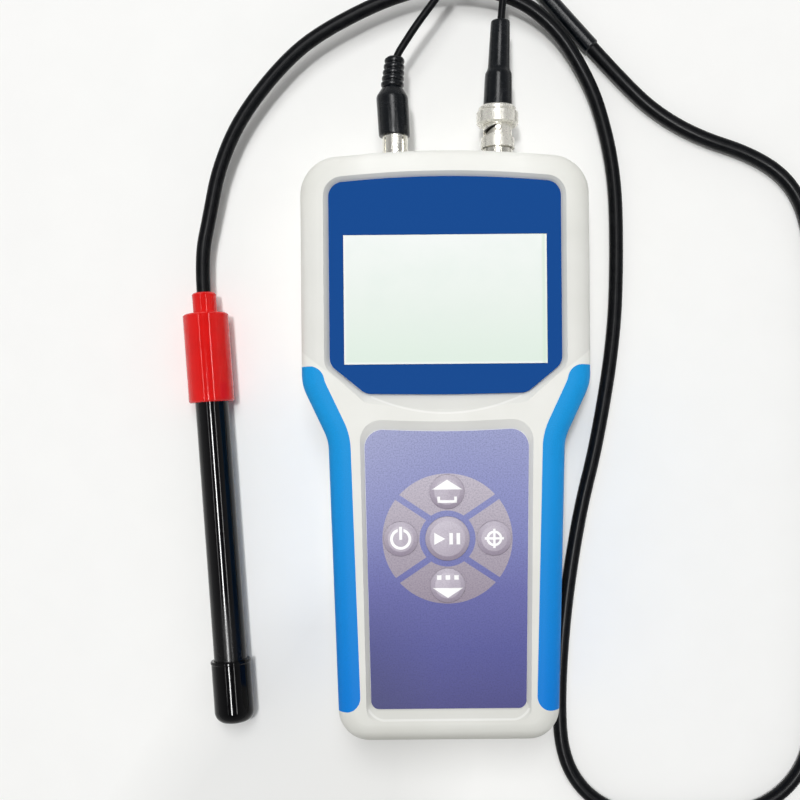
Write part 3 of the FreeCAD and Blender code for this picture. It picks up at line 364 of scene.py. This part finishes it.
# %% Window and liquid crystal cell
def crystal_cell(name, gloss, **sockets):
    """Pale polariser, bright along its left and lower edges, with a green line near the right one."""
    low, high = box_mm("display_window")
    finish = Finish(name, seen(236, 243, 236), gloss, **sockets)
    x, y, _ = finish.place()
    base = finish.ramp(
        y.between(low.y, high.y),
        [(0.0, seen(226, 240, 228)), (0.45, seen(236, 244, 237)), (1.0, seen(246, 250, 247))],
    )
    cloudy = finish.noise(9.0, 2.0)
    base = finish.mix(cloudy.between(0.4, 0.8) * 0.3, base, seen(228, 240, 232))
    edge = x.between(low.x + 0.9, low.x + 0.3).most(y.between(low.y + 0.9, low.y + 0.3))
    base = finish.mix(edge * 0.8, base, seen(250, 252, 250))
    green = x.between(high.x - 1.9, high.x - 1.2) * x.between(high.x - 0.4, high.x - 0.8)
    finish.colour(finish.mix(green * 0.6, base, seen(214, 234, 214)))
    return finish.material


window_sheet = crystal_cell("window sheet", 0.5, Specular_IOR_Level=0.05)
cell_glass = crystal_cell("liquid crystal cell", 0.28)
tell(window_sheet, cell_glass)

# %% [markdown]
# ## The keypad film
# The film is polycarbonate with a fine velvet texture, printed from behind. The print fades from lavender at the
# top to slate blue at the foot, and the foot of that fade is painted darker still, as painted shade. The film is
# paler at its upper left, and painted darker at its lower left, where a soft painted shadow falls. A mauve disc
# is cut into four leaves by a ring and by four bars, which don't meet at the centre: each pair crosses the middle
# line a little above or below it. Folding the plane along both middle lines with an absolute value makes the four
# bars one.

# %% Keypad film
KEYPAD_CENTRE_Y = -31.3
DISC_RADIUS = 21.7
DISC_HOLE = 9.35
BAR_WIDTH = 2.1
BAR_ANGLE = math.radians(33.8)
BAR_CROSSING = 2.7
PRINT_EDGE = 0.06
# The print's own fade from top to foot, with its lowest stops painted darker still as painted shade.
FILM_COLOURS = [
    (0.0, seen(71, 70, 133)),
    (0.21, seen(82, 84, 154)),
    (0.42, seen(101, 103, 169)),
    (0.60, seen(125, 130, 189)),
    (0.80, seen(143, 148, 200)),
    (1.0, seen(157, 162, 206)),
]
LEAF_COLOURS = [(0.35, seen(152, 139, 154)), (0.85, seen(200, 192, 204))]
FILM_FLECKS = (0.025, 0.03, 0.11)


def film_print():
    low, high = box_mm("keypad_overlay")
    finish = Finish("keypad film", seen(110, 112, 178), 0.5, Specular_IOR_Level=0.15)
    x, y, _ = finish.place()
    height = y.between(low.y, high.y)
    background = finish.ramp(height, FILM_COLOURS)
    # Painted shadow: a soft darker patch at the lower left of the film.
    lower_left_shadow = x.between(-4.0, -28.0) * y.between(-48.0, -86.0)
    background = finish.mix(lower_left_shadow * 0.7, background, seen(64, 66, 112))
    upper_left = x.between(4.0, -28.0) * y.between(-40.0, 5.0)
    background = finish.mix(upper_left * 0.4, background, seen(178, 180, 212))
    leaf = finish.ramp(height, LEAF_COLOURS)
    u = abs(x)
    v = abs(y - KEYPAD_CENTRE_Y)
    radius = (u * u + v * v).root()
    across = abs((v - BAR_CROSSING) * math.cos(BAR_ANGLE) - u * math.sin(BAR_ANGLE))
    inside = radius.between(DISC_RADIUS + PRINT_EDGE, DISC_RADIUS - PRINT_EDGE)
    outside = radius.between(DISC_HOLE - PRINT_EDGE, DISC_HOLE + PRINT_EDGE)
    clear_of_bar = across.between(BAR_WIDTH / 2 - PRINT_EDGE, BAR_WIDTH / 2 + PRINT_EDGE)
    printed = finish.mix(inside * outside * clear_of_bar, background, leaf)
    grain = finish.noise(0.50, 2.0, 0.6)
    velvet = finish.noise(0.30, 2.0, 0.6)
    finish.colour(finish.mix(grain.between(0.42, 0.72) * 0.33, printed, FILM_FLECKS))
    finish.roughness(0.46 + (velvet - 0.5) * 0.3)
    finish.normal(finish.bump(velvet, 0.035))
    return finish.material


keypad_film = film_print()
tell(keypad_film)

# %% [markdown]
# ## Key caps with printed symbols
# Each key is a translucent mauve cap. Its white symbol is made from a few shapes, and every shape is a signed
# distance: negative inside, positive outside. The smaller of two distances joins shapes and the larger one
# keeps their overlap, so a ring with a notch and a bar makes the power sign.

# %% Symbols as distances
def bar(x, y, cx, cy, width, height):
    """Distance to an upright rectangle about its centre."""
    return (abs(x - cx) - width / 2).most(abs(y - cy) - height / 2)


def triangle(x, y, base_y, half_width, rise):
    """Distance to a triangle on a level base; a negative rise points it down."""
    way = 1 if rise > 0 else -1
    lean = math.hypot(rise, half_width)
    up = (y - base_y) * way
    slope = (abs(x) * abs(rise) + up * half_width - abs(rise) * half_width) / lean
    return slope.most(up * -1.0)


def ring_shape(x, y, radius, stroke):
    return abs((x * x + y * y).root() - radius) - stroke / 2


def power_sign(x, y):
    circle = ring_shape(x, y, 3.05, 0.95)
    gap = bar(x, y, 0.0, 3.0, 1.9, 2.6) * -1.0
    return circle.most(gap).least(bar(x, y, 0.0, 1.95, 0.95, 4.3))


def run_and_hold_sign(x, y):
    arrow = triangle(y, x + 4.4, 0.0, 2.0, 3.6)
    return arrow.least(bar(x, y, 1.2, 0.0, 1.2, 3.8)).least(bar(x, y, 3.6, 0.0, 1.2, 3.8))


def target_sign(x, y):
    cross = bar(x, y, 0.0, 0.0, 6.4, 0.8).least(bar(x, y, 0.0, 0.0, 0.8, 6.4))
    return ring_shape(x, y, 2.2, 0.85).least(cross)


def up_sign(x, y):
    tray = bar(x, y, 0.0, -3.2, 6.4, 0.9).least(bar(abs(x), y, 2.8, -2.4, 0.9, 1.7))
    return triangle(x, y, 0.8, 5.1, 3.3).least(tray)


def down_sign(x, y):
    dots = bar(x, y, 0.0, 2.7, 1.5, 1.5).least(bar(abs(x), y, 2.9, 2.7, 1.5, 1.5))
    return triangle(x, y, -0.8, 5.1, -3.3).least(dots)


# %% [markdown]
# A key's finish works from the key's own middle, so one function serves all five: it takes the node and the
# symbol's function, and the symbol's distance becomes ink with an edge of a tenth of a millimetre or so.

# %% Key caps
INK_EDGE = 0.08
CAP_FLECKS = (0.10, 0.08, 0.11)


def key_finish(node, sign):
    low, high = box_mm(node)
    centre = (low + high) / 2
    finish = Finish(node.replace("_", " "), seen(160, 146, 164), 0.38, Specular_IOR_Level=0.3)
    x, y, _ = finish.place()
    x, y = x - centre.x, y - centre.y
    grain = finish.noise(0.40, 2.0, 0.6)
    # Painted light and shade: each cap is painted paler at its top and darker at its foot, as light falls on its
    # dome.
    cap = finish.mix(y.between(-6.0, 6.0), seen(162, 150, 168), seen(198, 190, 203))
    cap = finish.mix(grain.between(0.4, 0.75) * 0.25, cap, CAP_FLECKS)
    ink = sign(x, y).between(INK_EDGE, -INK_EDGE)
    finish.colour(finish.mix(ink, cap, seen(250, 250, 250)))
    finish.roughness(0.40 + (grain - 0.5) * 0.2)
    finish.normal(finish.bump(grain, 0.012))
    return finish.material


KEY_SIGNS = {
    "key_centre": run_and_hold_sign,
    "key_up": up_sign,
    "key_down": down_sign,
    "key_power": power_sign,
    "key_right": target_sign,
}
key_finishes = {node: key_finish(node, sign) for node, sign in KEY_SIGNS.items()}
tell(*key_finishes.values())

# %% [markdown]
# ## Metals
# Nickel plate is bright and slightly warm, with hairline turning marks round each piece. The contacts are
# gold, the screws and springs plain steel. A metal needs little colour of its own: what it mirrors does the
# work. A stain darkens it a little in places and roughens it there, and the turning marks break its gloss.

# %% Metals
def metal(name, colour, gloss=0.2, tarnish=0.15, marks=0.12):
    """Turned metal, stained by a share tarnish; marks is the width of the turning marks in millimetres."""
    finish = Finish(name, colour, gloss, Metallic=1.0)
    stain = finish.noise(2.4, 4.0, 0.6)
    lines = finish.noise(marks, 1.0, 0.5, stretch=(0.08, 1.0, 0.08))
    dull = tuple(c * 0.62 for c in colour)
    finish.colour(finish.mix(stain.between(0.45, 0.75) * tarnish, colour, dull))
    finish.roughness(gloss + stain.between(0.4, 0.8) * 0.12 + (lines - 0.5) * 0.12)
    finish.normal(finish.bump(lines, 0.004))
    return finish.material


nickel = metal("nickel plate", (0.87, 0.85, 0.78), 0.22)
gold = metal("gold plate", (0.85, 0.62, 0.25), 0.2)
steel = metal("steel", (0.62, 0.61, 0.58), 0.3)
tell(nickel, gold, steel)

# %% [markdown]
# ## The bayonet
# The coupling sleeve is knurled, and a slot winds up its side, which the jack's lug climbs. The knurl is too fine
# to model: it scatters light, so the sleeve is only partly a mirror. The slot is open on the model, and through
# it shows the jack's barrel. Shade is painted on both: the barrel is painted dull inside the sleeve, and along
# the slot both pieces are painted near black. One mask serves both pieces: the angle round the plug's axis says
# how far the slot has climbed, and what is nearer to that line than half the slot's width lies in the slot.

# %% Slotted sleeve and the jack inside it
SLOT_Y = 107.95
SLOT_CLIMB = 2.2
SLOT_HALF_WIDTH = 0.64
SLOT_TAPER = 0.40
SLOT_FADE = 0.12
SLOT_END = -1.15
SLEEVE_BRIGHT = (0.86, 0.84, 0.77)
SLEEVE_DULL = (0.54, 0.53, 0.48)
JACK_BRIGHT = (0.80, 0.78, 0.71)
JACK_STAIN_AND_SHADE = (0.50, 0.48, 0.43)
SHADE = (0.02, 0.019, 0.017)
SLEEVE_MOUTH_Y = 103.4
PLATE_GLOSS = 0.24


def slot_shade(finish, x, y, z):
    """1 in the slot and 0 elsewhere; turn is 0 at the top and negative to the left, in radians."""
    low, high = box_mm("bnc_coupling_sleeve")
    centre = (low + high) / 2
    turn = finish.node("ShaderNodeMath", {"operation": "ARCTAN2"}, [x - centre.x, z - centre.z])
    climb = turn.between(SLOT_END, 0.0)
    past_edge = abs(y - climb * SLOT_CLIMB - SLOT_Y) + climb * SLOT_TAPER - SLOT_HALF_WIDTH
    within = turn.between(SLOT_END - 0.15, SLOT_END) * turn.between(0.0, -0.1)
    return past_edge.between(SLOT_FADE, -SLOT_FADE) * within


def slotted_sleeve():
    finish = Finish("slotted nickel", SLEEVE_BRIGHT, PLATE_GLOSS, Metallic=0.6)
    stain = finish.noise(2.4, 4.0, 0.6)
    lines = finish.noise(0.12, 1.0, 0.5, stretch=(0.08, 1.0, 0.08))
    slot = slot_shade(finish, *finish.place())
    plate = finish.mix(stain.between(0.45, 0.75) * 0.25, SLEEVE_BRIGHT, SLEEVE_DULL)
    # Painted shade: the sleeve is painted near black along the slot.
    finish.colour(finish.mix(slot, plate, seen(24, 22, 20)))
    finish.roughness(slot * 0.3 + PLATE_GLOSS + stain.between(0.4, 0.8) * 0.14)
    finish.normal(finish.bump(lines, 0.004))
    return finish.material


def jack_nickel():
    finish = Finish("jack nickel", JACK_BRIGHT, PLATE_GLOSS, Metallic=1.0)
    x, y, z = finish.place()
    inside = y.between(SLEEVE_MOUTH_Y, SLEEVE_MOUTH_Y + 0.5)
    stain = finish.noise(2.4, 4.0, 0.6)
    plate = finish.mix(stain.between(0.45, 0.75) * 0.25, JACK_BRIGHT, JACK_STAIN_AND_SHADE)
    # Painted shade: the barrel is painted dull inside the sleeve and near black under the slot.
    plate = finish.mix(inside, plate, JACK_STAIN_AND_SHADE)
    finish.colour(finish.mix(slot_shade(finish, x, y, z), plate, SHADE))
    finish.roughness(inside * 0.2 + PLATE_GLOSS)
    return finish.material


slotted_nickel = slotted_sleeve()
jack_plate = jack_nickel()
tell(slotted_nickel, jack_plate)

# %% [markdown]
# ## Black and red mouldings
# The boots are soft vinyl with a satin surface, the probe shaft and cap are hard and glossy, and the red
# collar is cast in a brighter, softer gloss. They differ mostly in how sharp their highlight is, and each
# carries faint scuffs, which show as patches where the highlight breaks.

# %% Soft vinyl
def vinyl(name, colour, gloss=0.45, grain=0.25, depth=0.01, sheen=0.25):
    """Satin vinyl with paler dust on it; grain and depth are in millimetres."""
    finish = Finish(name, colour, gloss, Specular_IOR_Level=sheen)
    fine = finish.noise(grain, 2.0)
    dust = finish.noise(3.0, 5.0, 0.7)
    paler = tuple(c * 1.6 + 0.012 for c in colour)
    finish.colour(finish.mix(dust.between(0.5, 0.85) * 0.5, colour, paler))
    finish.roughness(gloss + (dust - 0.5) * 0.2 + (fine - 0.5) * 0.15)
    finish.normal(finish.bump(fine, depth))
    return finish.material


boot_vinyl = vinyl("boot vinyl", seen(3, 7, 13), 0.25, 0.30, 0.020, 0.36)
cable_jacket = vinyl("cable jacket", seen(11, 12, 15), 0.30, 0.18, 0.006, 0.11)
graphite = vinyl("graphite", seen(58, 58, 60), 0.5)
tell(boot_vinyl, cable_jacket, graphite)

# %% Hard glossy plastic
def glossy(name, colour, gloss=0.10, ripple=0.010, sheen=0.14, dull_from=None):
    """Hard gloss with scuffs; from dull_from down, in millimetres, handling has taken most of the gloss."""
    finish = Finish(name, colour, gloss, Specular_IOR_Level=sheen)
    wave = finish.noise(5.0, 2.0)
    scuff = finish.noise(1.4, 6.0, 0.75, stretch=(1.0, 0.35, 1.0))
    deeper = tuple(c * 0.8 for c in colour)
    finish.colour(finish.mix(wave.between(0.3, 0.8) * 0.5, colour, deeper))
    rough = gloss + scuff.between(0.55, 0.9) * 0.22
    if dull_from is not None:
        _, y, _ = finish.place()
        rough = rough + y.between(dull_from, dull_from - 14.0) * 0.16
    finish.roughness(rough)
    finish.normal(finish.bump(wave, ripple))
    return finish.material


cap_black = glossy("cap black", seen(7, 7, 9), 0.08, 0.016, 0.20)
probe_black = glossy("probe black", seen(10, 10, 12), 0.08, 0.010, 0.28, -50.0)
probe_red = glossy("probe red", seen(225, 27, 25), 0.07, 0.030, 0.32)
cell_plastic = glossy("cell plastic", seen(22, 22, 24), 0.25)
tell(cap_black, probe_black, probe_red, cell_plastic)

# %% [markdown]
# ## Inside the case
# The board, its chips and the cells show only when the cover slides off or the shells come apart, but they
# get honest finishes too: solder mask over a weave, moulded epoxy, and on each cell a sleeve printed in two
# plain bands.

# %% Board
TRACKS_OUTPUT = 1


def solder_mask():
    """Green mask over a woven board; a brick pattern's joints stand for the copper tracks under it."""
    finish = Finish("solder mask", seen(20, 92, 48), 0.3)
    x, y, _ = finish.place()
    weave = (x * 4.0).maths("SINE") * (y * 4.0).maths("SINE")
    sockets = {"Vector": finish.point(), "Scale": 240.0}
    tracks = finish.node("ShaderNodeTexBrick", {"offset": 0.5}, sockets, output=TRACKS_OUTPUT)
    finish.colour(finish.mix(tracks * 0.35, seen(18, 88, 46), seen(42, 128, 70)))
    finish.normal(finish.bump(weave * 0.5 + 0.5, 0.01))
    return finish.material


board_mask = solder_mask()
tell(board_mask)

# %% Chips, holders, insulators and cells
def cell_sleeve():
    """Printed sleeve in two plain bands, with scuffs."""
    foot = box_mm("batteries")[0].y
    finish = Finish("cell sleeve", seen(60, 64, 70), 0.25)
    _, y, _ = finish.place()
    upper_band = y.between(foot + 12.0, foot + 12.4)
    scuff = finish.noise(2.0, 4.0)
    base = finish.mix(upper_band, seen(196, 150, 60), seen(52, 56, 62))
    finish.colour(finish.mix(scuff.between(0.5, 0.9) * 0.3, base, seen(140, 140, 140)))
    return finish.material


holder_plastic = moulded("holder plastic", seen(40, 40, 42))
insulator = moulded("insulator", seen(238, 237, 230), 0.2, 0.004, 0.3)
chip_epoxy = moulded("chip epoxy", seen(34, 34, 36), 0.2, 0.01, 0.5)
cell_print = cell_sleeve()
tell(holder_plastic, insulator, chip_epoxy, cell_print)

# %% [markdown]
# ## Finishes on the nodes
# Now every node of the model gets its finish. One material can serve several nodes, so the list goes from the
# material to its nodes, and a node's own mesh is left as it came.

# %% Dress the nodes
NODE_FINISHES = {
    case_plastic: ["front_shell", "rear_shell", "battery_cover"],
    grip_rubber: ["grip_left", "grip_right"],
    panel_print: ["display_panel"],
    window_sheet: ["display_window"],
    cell_glass: ["lcd_glass"],
    holder_plastic: ["lcd_holder"],
    keypad_film: ["keypad_overlay"],
    slotted_nickel: ["bnc_coupling_sleeve"],
    jack_plate: ["bnc_jack_body"],
    nickel: ["bnc_jack_nut", "bnc_plug_body", "temp_jack_body", "temp_plug_sleeve", "temp_plug_pin"],
    gold: ["bnc_jack_contact", "bnc_plug_pin", "temp_jack_contact"],
    steel: ["case_screws", "board_screws", "snap_domes", "battery_contacts", "temp_sensor"],
    insulator: ["bnc_jack_insulator", "bnc_plug_insulator", "temp_jack_insulator", "temp_plug_insulator"],
    boot_vinyl: ["bnc_boot", "temp_plug_boot"],
    probe_red: ["probe_collar"],
    probe_black: ["probe_shaft"],
    cap_black: ["probe_cap"],
    cell_plastic: ["probe_cell"],
    graphite: ["cell_electrodes"],
    board_mask: ["main_board"],
    chip_epoxy: ["board_chips"],
    cell_print: ["batteries"],
}


def dress(piece, material):
    piece.data.materials.clear()
    piece.data.materials.append(material)


for material, names in NODE_FINISHES.items():
    for name in names:
        dress(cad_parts[name], material)
for name, material in key_finishes.items():
    dress(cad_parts[name], material)
dress(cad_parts["split_sleeve"], boot_vinyl)
print("dressed", sum(len(names) for names in NODE_FINISHES.values()) + len(key_finishes) + 1, "nodes")

# %% [markdown]
# ## Boots that lean
# Soft boots never sit quite straight: the cables pull them over. A lathe can't turn a leaning axis, so each
# boot is stacked instead. One ring of edges is extruded from station to station, and at each stop it is moved
# along the leaning axis and scaled to the radius there. The ribs of the strain relief are rings that swell and
# shrink, which gives them round backs, and the shallow grooves between them catch the shadow.

# %% Stacked rings
PLUG_HEIGHT = 17.5


def stacked_rings(name, stations, sides=56):
    """Closed round body about rings of (x, y, radius) in millimetres, all at the plugs' height."""
    first_x, first_y, first_radius = stations[0]
    bpy.ops.mesh.primitive_circle_add(
        vertices=sides,
        radius=first_radius * MM,
        fill_type="NGON",
        location=(first_x * MM, first_y * MM, PLUG_HEIGHT * MM),
        rotation=(math.radians(90), 0, 0),
    )
    piece = bpy.context.object
    piece.name = name
    bpy.ops.object.transform_apply(location=True, rotation=True, scale=True)
    bpy.ops.object.mode_set(mode="EDIT")
    bpy.ops.mesh.select_all(action="SELECT")
    here = stations[0]
    for station in stations[1:]:
        step = ((station[0] - here[0]) * MM, (station[1] - here[1]) * MM, 0)
        bpy.ops.mesh.extrude_region_move(TRANSFORM_OT_translate={"value": step})
        share = station[2] / here[2]
        centre = (station[0] * MM, station[1] * MM, PLUG_HEIGHT * MM)
        bpy.ops.transform.resize(value=(share, 1.0, share), center_override=centre)
        here = station
    bpy.ops.mesh.select_all(action="SELECT")
    bpy.ops.mesh.normals_make_consistent(inside=False)
    bpy.ops.object.mode_set(mode="OBJECT")
    bpy.ops.object.shade_smooth_by_angle(angle=math.radians(50))
    return piece


# %% [markdown]
# The coaxial boot is one long taper with a shoulder. The single-pin boot has five ribs, each a little thinner
# and further over than the one before, so a loop adds their rings: four round the crest and two in the groove.

# %% The two boots
coax_stations = [
    (18.75, 117.35, 4.6), (18.75, 117.45, 4.95), (18.78, 118.2, 5.02), (18.95, 123.0, 4.88), (19.1, 127.9, 4.72),
    (19.13, 128.7, 4.62), (19.16, 129.3, 4.3), (19.2, 130.0, 4.0), (19.25, 130.8, 3.82), (19.6, 139.0, 3.56),
    (19.92, 146.4, 3.32), (19.96, 146.85, 3.2), (19.98, 147.05, 2.95), (19.98, 147.05, 1.2),
]
coax_boot = stacked_rings("coax_boot", coax_stations)

RIBS = 5
RIB_PITCH = 2.06
RIB_X, RIB_Y, RIB_RADIUS = -17.78, 125.2, 4.0
RIB_LEAN = 0.2
RIB_TAPER = 0.13
single_pin_stations = [
    (-17.2, 107.15, 5.0), (-17.2, 107.3, 5.3), (-17.24, 107.8, 5.42), (-17.5, 113.5, 5.5), (-17.82, 119.6, 5.55),
    (-17.88, 120.6, 5.5), (-17.9, 121.3, 5.26), (-17.88, 122.2, 4.7), (-17.86, 123.2, 4.1), (-17.84, 123.8, 3.72),
    (-17.84, 124.2, 3.4),
]
for rib in range(RIBS):
    lean = RIB_X + rib * RIB_LEAN
    middle = RIB_Y + rib * RIB_PITCH
    crest = RIB_RADIUS - rib * RIB_TAPER
    single_pin_stations += [
        (lean, middle - 0.62, crest - 0.16), (lean, middle - 0.3, crest - 0.03), (lean, middle + 0.2, crest),
        (lean, middle + 0.62, crest - 0.14), (lean + 0.05, middle + 0.84, crest - 0.62),
        (lean + 0.1, middle + RIB_PITCH - 0.84, crest - 0.66),
    ]
mouth = [(-16.9, 134.1, 3.1), (-16.89, 134.5, 2.9), (-16.88, 134.7, 2.6), (-16.88, 134.7, 1.2)]
single_pin_stations[-2:] = mouth
single_pin_boot = stacked_rings("single_pin_boot", single_pin_stations)

for piece, node, body in ((coax_boot, "bnc_boot", "bnc_plug"), (single_pin_boot, "temp_plug_boot", "meter")):
    dress(piece, boot_vinyl)
    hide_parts(node)
    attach(piece, body)
    print(piece.name, "faces", len(piece.data.polygons))

# %% [markdown]
# ## The cables
# A cable lies in curves that a short list of points steers: a smooth spline passes near each one. The thick
# cable leaves the probe's collar, stands up in a low arch past the top of the meter, comes down at its right
# side and lies on the table from there to a small sleeve, where it splits into two thin leads, one to each
# plug. Each is a curve with a round section, which keeps the same thickness in every bend. The arch has a
# height at each point, and on the table one height does for all.

# %% A cable from its points
def lay_cable(name, points, radius, material):
    curve = bpy.data.curves.new(name, "CURVE")
    curve.dimensions = "3D"
    curve.bevel_depth = radius * MM
    curve.bevel_resolution = 8
    curve.resolution_u = 14
    curve.use_fill_caps = True
    spline = curve.splines.new("NURBS")
    spline.points.add(len(points) - 1)
    for control, (x, y, z) in zip(spline.points, points):
        control.co = (x * MM, y * MM, z * MM, 1.0)
    spline.order_u = 3
    spline.use_endpoint_u = True
    piece = bpy.data.objects.new(name, curve)
    bpy.context.scene.collection.objects.link(piece)
    piece.data.materials.append(material)
    return piece


# %% Sizes and ends, in millimetres
CABLE_RADIUS = 2.5
LEAD_RADIUS = 1.3
CABLE_Z = 2.55
SPLIT_Z = 3.05
COLLAR_END = Vector((-85.87, 54.65, 8.208))
PROBE_WAY = Vector((0.0635, -0.99797, -0.00534))
SPLIT_START = Vector((53.55, 142.44, SPLIT_Z))
SPLIT_END = Vector((36.56, 161.54, SPLIT_Z))
SPLIT_WAY = (SPLIT_END - SPLIT_START).normalized()
SPLIT_SIDE = Vector((SPLIT_WAY.y, -SPLIT_WAY.x, 0))
LEAD_SPREAD = 1.35
COLLAR_STRAIGHT = 12.6
SPLIT_STRAIGHT = 18.0
LEAD_STRAIGHT = 6.0
print("split sleeve", round((SPLIT_END - SPLIT_START).length, 1), "mm long")

# %% Cable from the probe to the split
arch_points = [
    (-83.4, 81.7, 9.2), (-79.9, 98.6, 10.0), (-71.9, 116.6, 10.4), (-57.0, 135.1, 10.6), (-43.2, 146.5, 10.6),
    (-16.2, 159.6, 10.6), (4.7, 163.0, 10.4), (26.2, 158.8, 9.0), (40.3, 148.7, 6.5), (49.5, 135.4, 4.0),
    (56.0, 121.4, 2.9),
]
floor_plan = [
    (61.4, 97.2), (61.9, 67.6), (60.6, 37.7), (54.1, 0.1), (47.6, -24.6), (41.9, -59.2), (39.4, -92.7),
    (40.7, -113.1), (49.1, -126.9), (63.4, -134.4), (86.0, -135.6), (109.3, -133.0), (122.0, -125.1),
    (130.0, -112.4), (132.4, -90.6), (134.5, -58.0), (135.3, -20.0), (135.0, 18.0), (133.7, 52.0), (131.2, 80.0),
    (124.3, 94.4), (111.2, 103.6), (91.5, 110.2), (77.0, 118.6),
]
cable_points = [COLLAR_END, COLLAR_END - PROBE_WAY * COLLAR_STRAIGHT] + arch_points
cable_points += [(x, y, CABLE_Z) for x, y in floor_plan]
cable_points += [SPLIT_START - SPLIT_WAY * SPLIT_STRAIGHT, SPLIT_START]
probe_cable = lay_cable("probe_cable_run", cable_points, CABLE_RADIUS, cable_jacket)

# %% Leads from the split to the plugs
bnc_lead_end = SPLIT_END - SPLIT_SIDE * LEAD_SPREAD
bnc_lead_points = [
    (19.9, 144.45, 17.5), (21.5, 163.3, 17.5), (24.4, 169.3, 13.5), (29.1, 170.0, 8.0),
    bnc_lead_end + SPLIT_WAY * LEAD_STRAIGHT, bnc_lead_end,
]
bnc_lead = lay_cable("bnc_lead_run", bnc_lead_points, LEAD_RADIUS, cable_jacket)

temp_lead_end = SPLIT_END + SPLIT_SIDE * LEAD_SPREAD
temp_lead_points = [
    (-17.1, 131.0, 17.5), (-16.7, 134.6, 17.5), (-12.9, 140.4, 18.0), (-8.7, 146.5, 18.3), (-3.5, 153.2, 18.6),
    (3.9, 163.5, 17.8), (12.0, 171.9, 14.5), (22.0, 177.3, 10.5), (30.1, 173.5, 6.5),
    temp_lead_end + SPLIT_WAY * LEAD_STRAIGHT, temp_lead_end,
]
temp_lead = lay_cable("temp_lead_run", temp_lead_points, LEAD_RADIUS, cable_jacket)

for piece, node in ((probe_cable, "probe_cable"), (bnc_lead, "bnc_lead"), (temp_lead, "temp_lead")):
    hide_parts(node)
    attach(piece, "meter")
    print(piece.name, "is steered by", len(piece.data.splines[0].points), "points")

# %% [markdown]
# The cable ends in the split sleeve and each lead in its plug.

# %% [markdown]
# ## The table
# A white table top, barely uneven in colour. A faint soft patch at the lower left is a painted shadow, of
# something outside the picture that stands in the light of the room. It is painted on as a mask: a slanted line,
# a lower bound and a right bound, each with a wide soft edge.

# %% Table
TABLE_SIZE = 6.0
TABLE_DROP = 0.00002
PATCH_WAY = (0.813, -0.582)
PATCH_REACH = 15.8


def add_table():
    """Just under the model, so that no two faces lie in one plane."""
    bpy.ops.mesh.primitive_plane_add(size=TABLE_SIZE, location=(0, 0, -TABLE_DROP))
    table = bpy.context.object
    table.name = "table"
    finish = Finish("table top", seen(246, 246, 245), 0.6)
    paper = finish.noise(18.0, 4.0)
    base = finish.mix(paper.between(0.35, 0.75) * 0.35, seen(249, 249, 247), seen(244, 244, 242))
    x, y, _ = finish.place()
    side = x * PATCH_WAY[0] + y * PATCH_WAY[1] + PATCH_REACH
    # Painted shadow: a soft darker patch at the lower left.
    painted_shadow = side.between(-12.0, 14.0) * y.between(-40.0, -66.0) * x.between(10.0, -20.0)
    finish.colour(finish.mix(painted_shadow * 0.9, base, seen(232, 232, 230)))
    finish.normal(finish.bump(finish.noise(0.8, 3.0), 0.01))
    dress(table, finish.material)
    tell(finish.material)


add_table()

# %% [markdown]
# ## The lamps
# Three kinds of light. A small lamp almost overhead throws the short, dark shadows, and is hidden from mirrors
# so that it leaves no bright spot on the flat display. Three thin lamps do the opposite: only mirrors see them,
# and they draw the narrow streaks along the probe. A broad soft light beyond the top of the meter makes the
# nickel bright and puts the satin highlights on the boots. A lamp's place and size are given as slopes, so its
# height can change without its streak or its shadow moving.

# %% Lamps
def add_lamp(name, slope, height, spread, power, mirrored=True, lights=True):
    """Area lamp aimed at the table's middle; slope and spread are in metres per metre of height."""
    place = Vector((slope[0] * height, slope[1] * height, height))
    back = place.normalized()
    side = Vector((0, 1, 0)).cross(back).normalized()
    data = bpy.data.lights.new(name, "AREA")
    data.shape = "RECTANGLE"
    data.size = spread[0] * height
    data.size_y = spread[1] * height
    data.energy = power
    lamp = bpy.data.objects.new(name, data)
    bpy.context.scene.collection.objects.link(lamp)
    lamp.location = place
    lamp.rotation_euler = Matrix((side, back.cross(side), back)).transposed().to_euler()
    lamp.visible_glossy = mirrored
    lamp.visible_diffuse = lights
    print(name, "at", [round(v, 2) for v in place], "m")


add_lamp("shadow lamp", (-0.09, 0.10), 3.0, (0.08, 0.10), 36.0, mirrored=False)
add_lamp("soft light", (-0.02, 0.43), 2.4, (0.36, 0.46), 23.5)
add_lamp("long streak", (-0.085, -0.16), 3.0, (0.07, 0.40), 72.0, lights=False)
add_lamp("left streak", (-0.50, 0.0), 3.0, (0.05, 0.6), 6.0, lights=False)
add_lamp("right streak", (0.46, 0.0), 3.0, (0.05, 0.6), 12.0, lights=False)

# %% [markdown]
# ## The sky
# The sky is dark overhead and bright all round: glossy black pieces mirror the dark part and stay black, while
# the steep walls of the recesses still get light. A ramp over the height of the direction looked in does it.

# %% Sky
def grey(level):
    return (level, level, level)


SKY_STOPS = [(0.0, grey(0.58)), (0.75, grey(0.27)), (0.97, grey(0.03))]
world = bpy.data.worlds.new("studio")
bpy.context.scene.world = world
world.use_nodes = True
sky = world.node_tree.nodes
links = world.node_tree.links
direction = sky.new("ShaderNodeTexCoord")
heights = sky.new("ShaderNodeSeparateXYZ")
fade = sky.new("ShaderNodeValToRGB")
Finish.set_stops(fade.color_ramp, SKY_STOPS)
links.new(direction.outputs["Generated"], heights.inputs[0])
links.new(heights.outputs["Z"], fade.inputs[0])
links.new(fade.outputs[0], sky["Background"].inputs["Color"])
print("sky from", SKY_STOPS[0][1][0], "at the horizon to", SKY_STOPS[-1][1][0], "overhead")
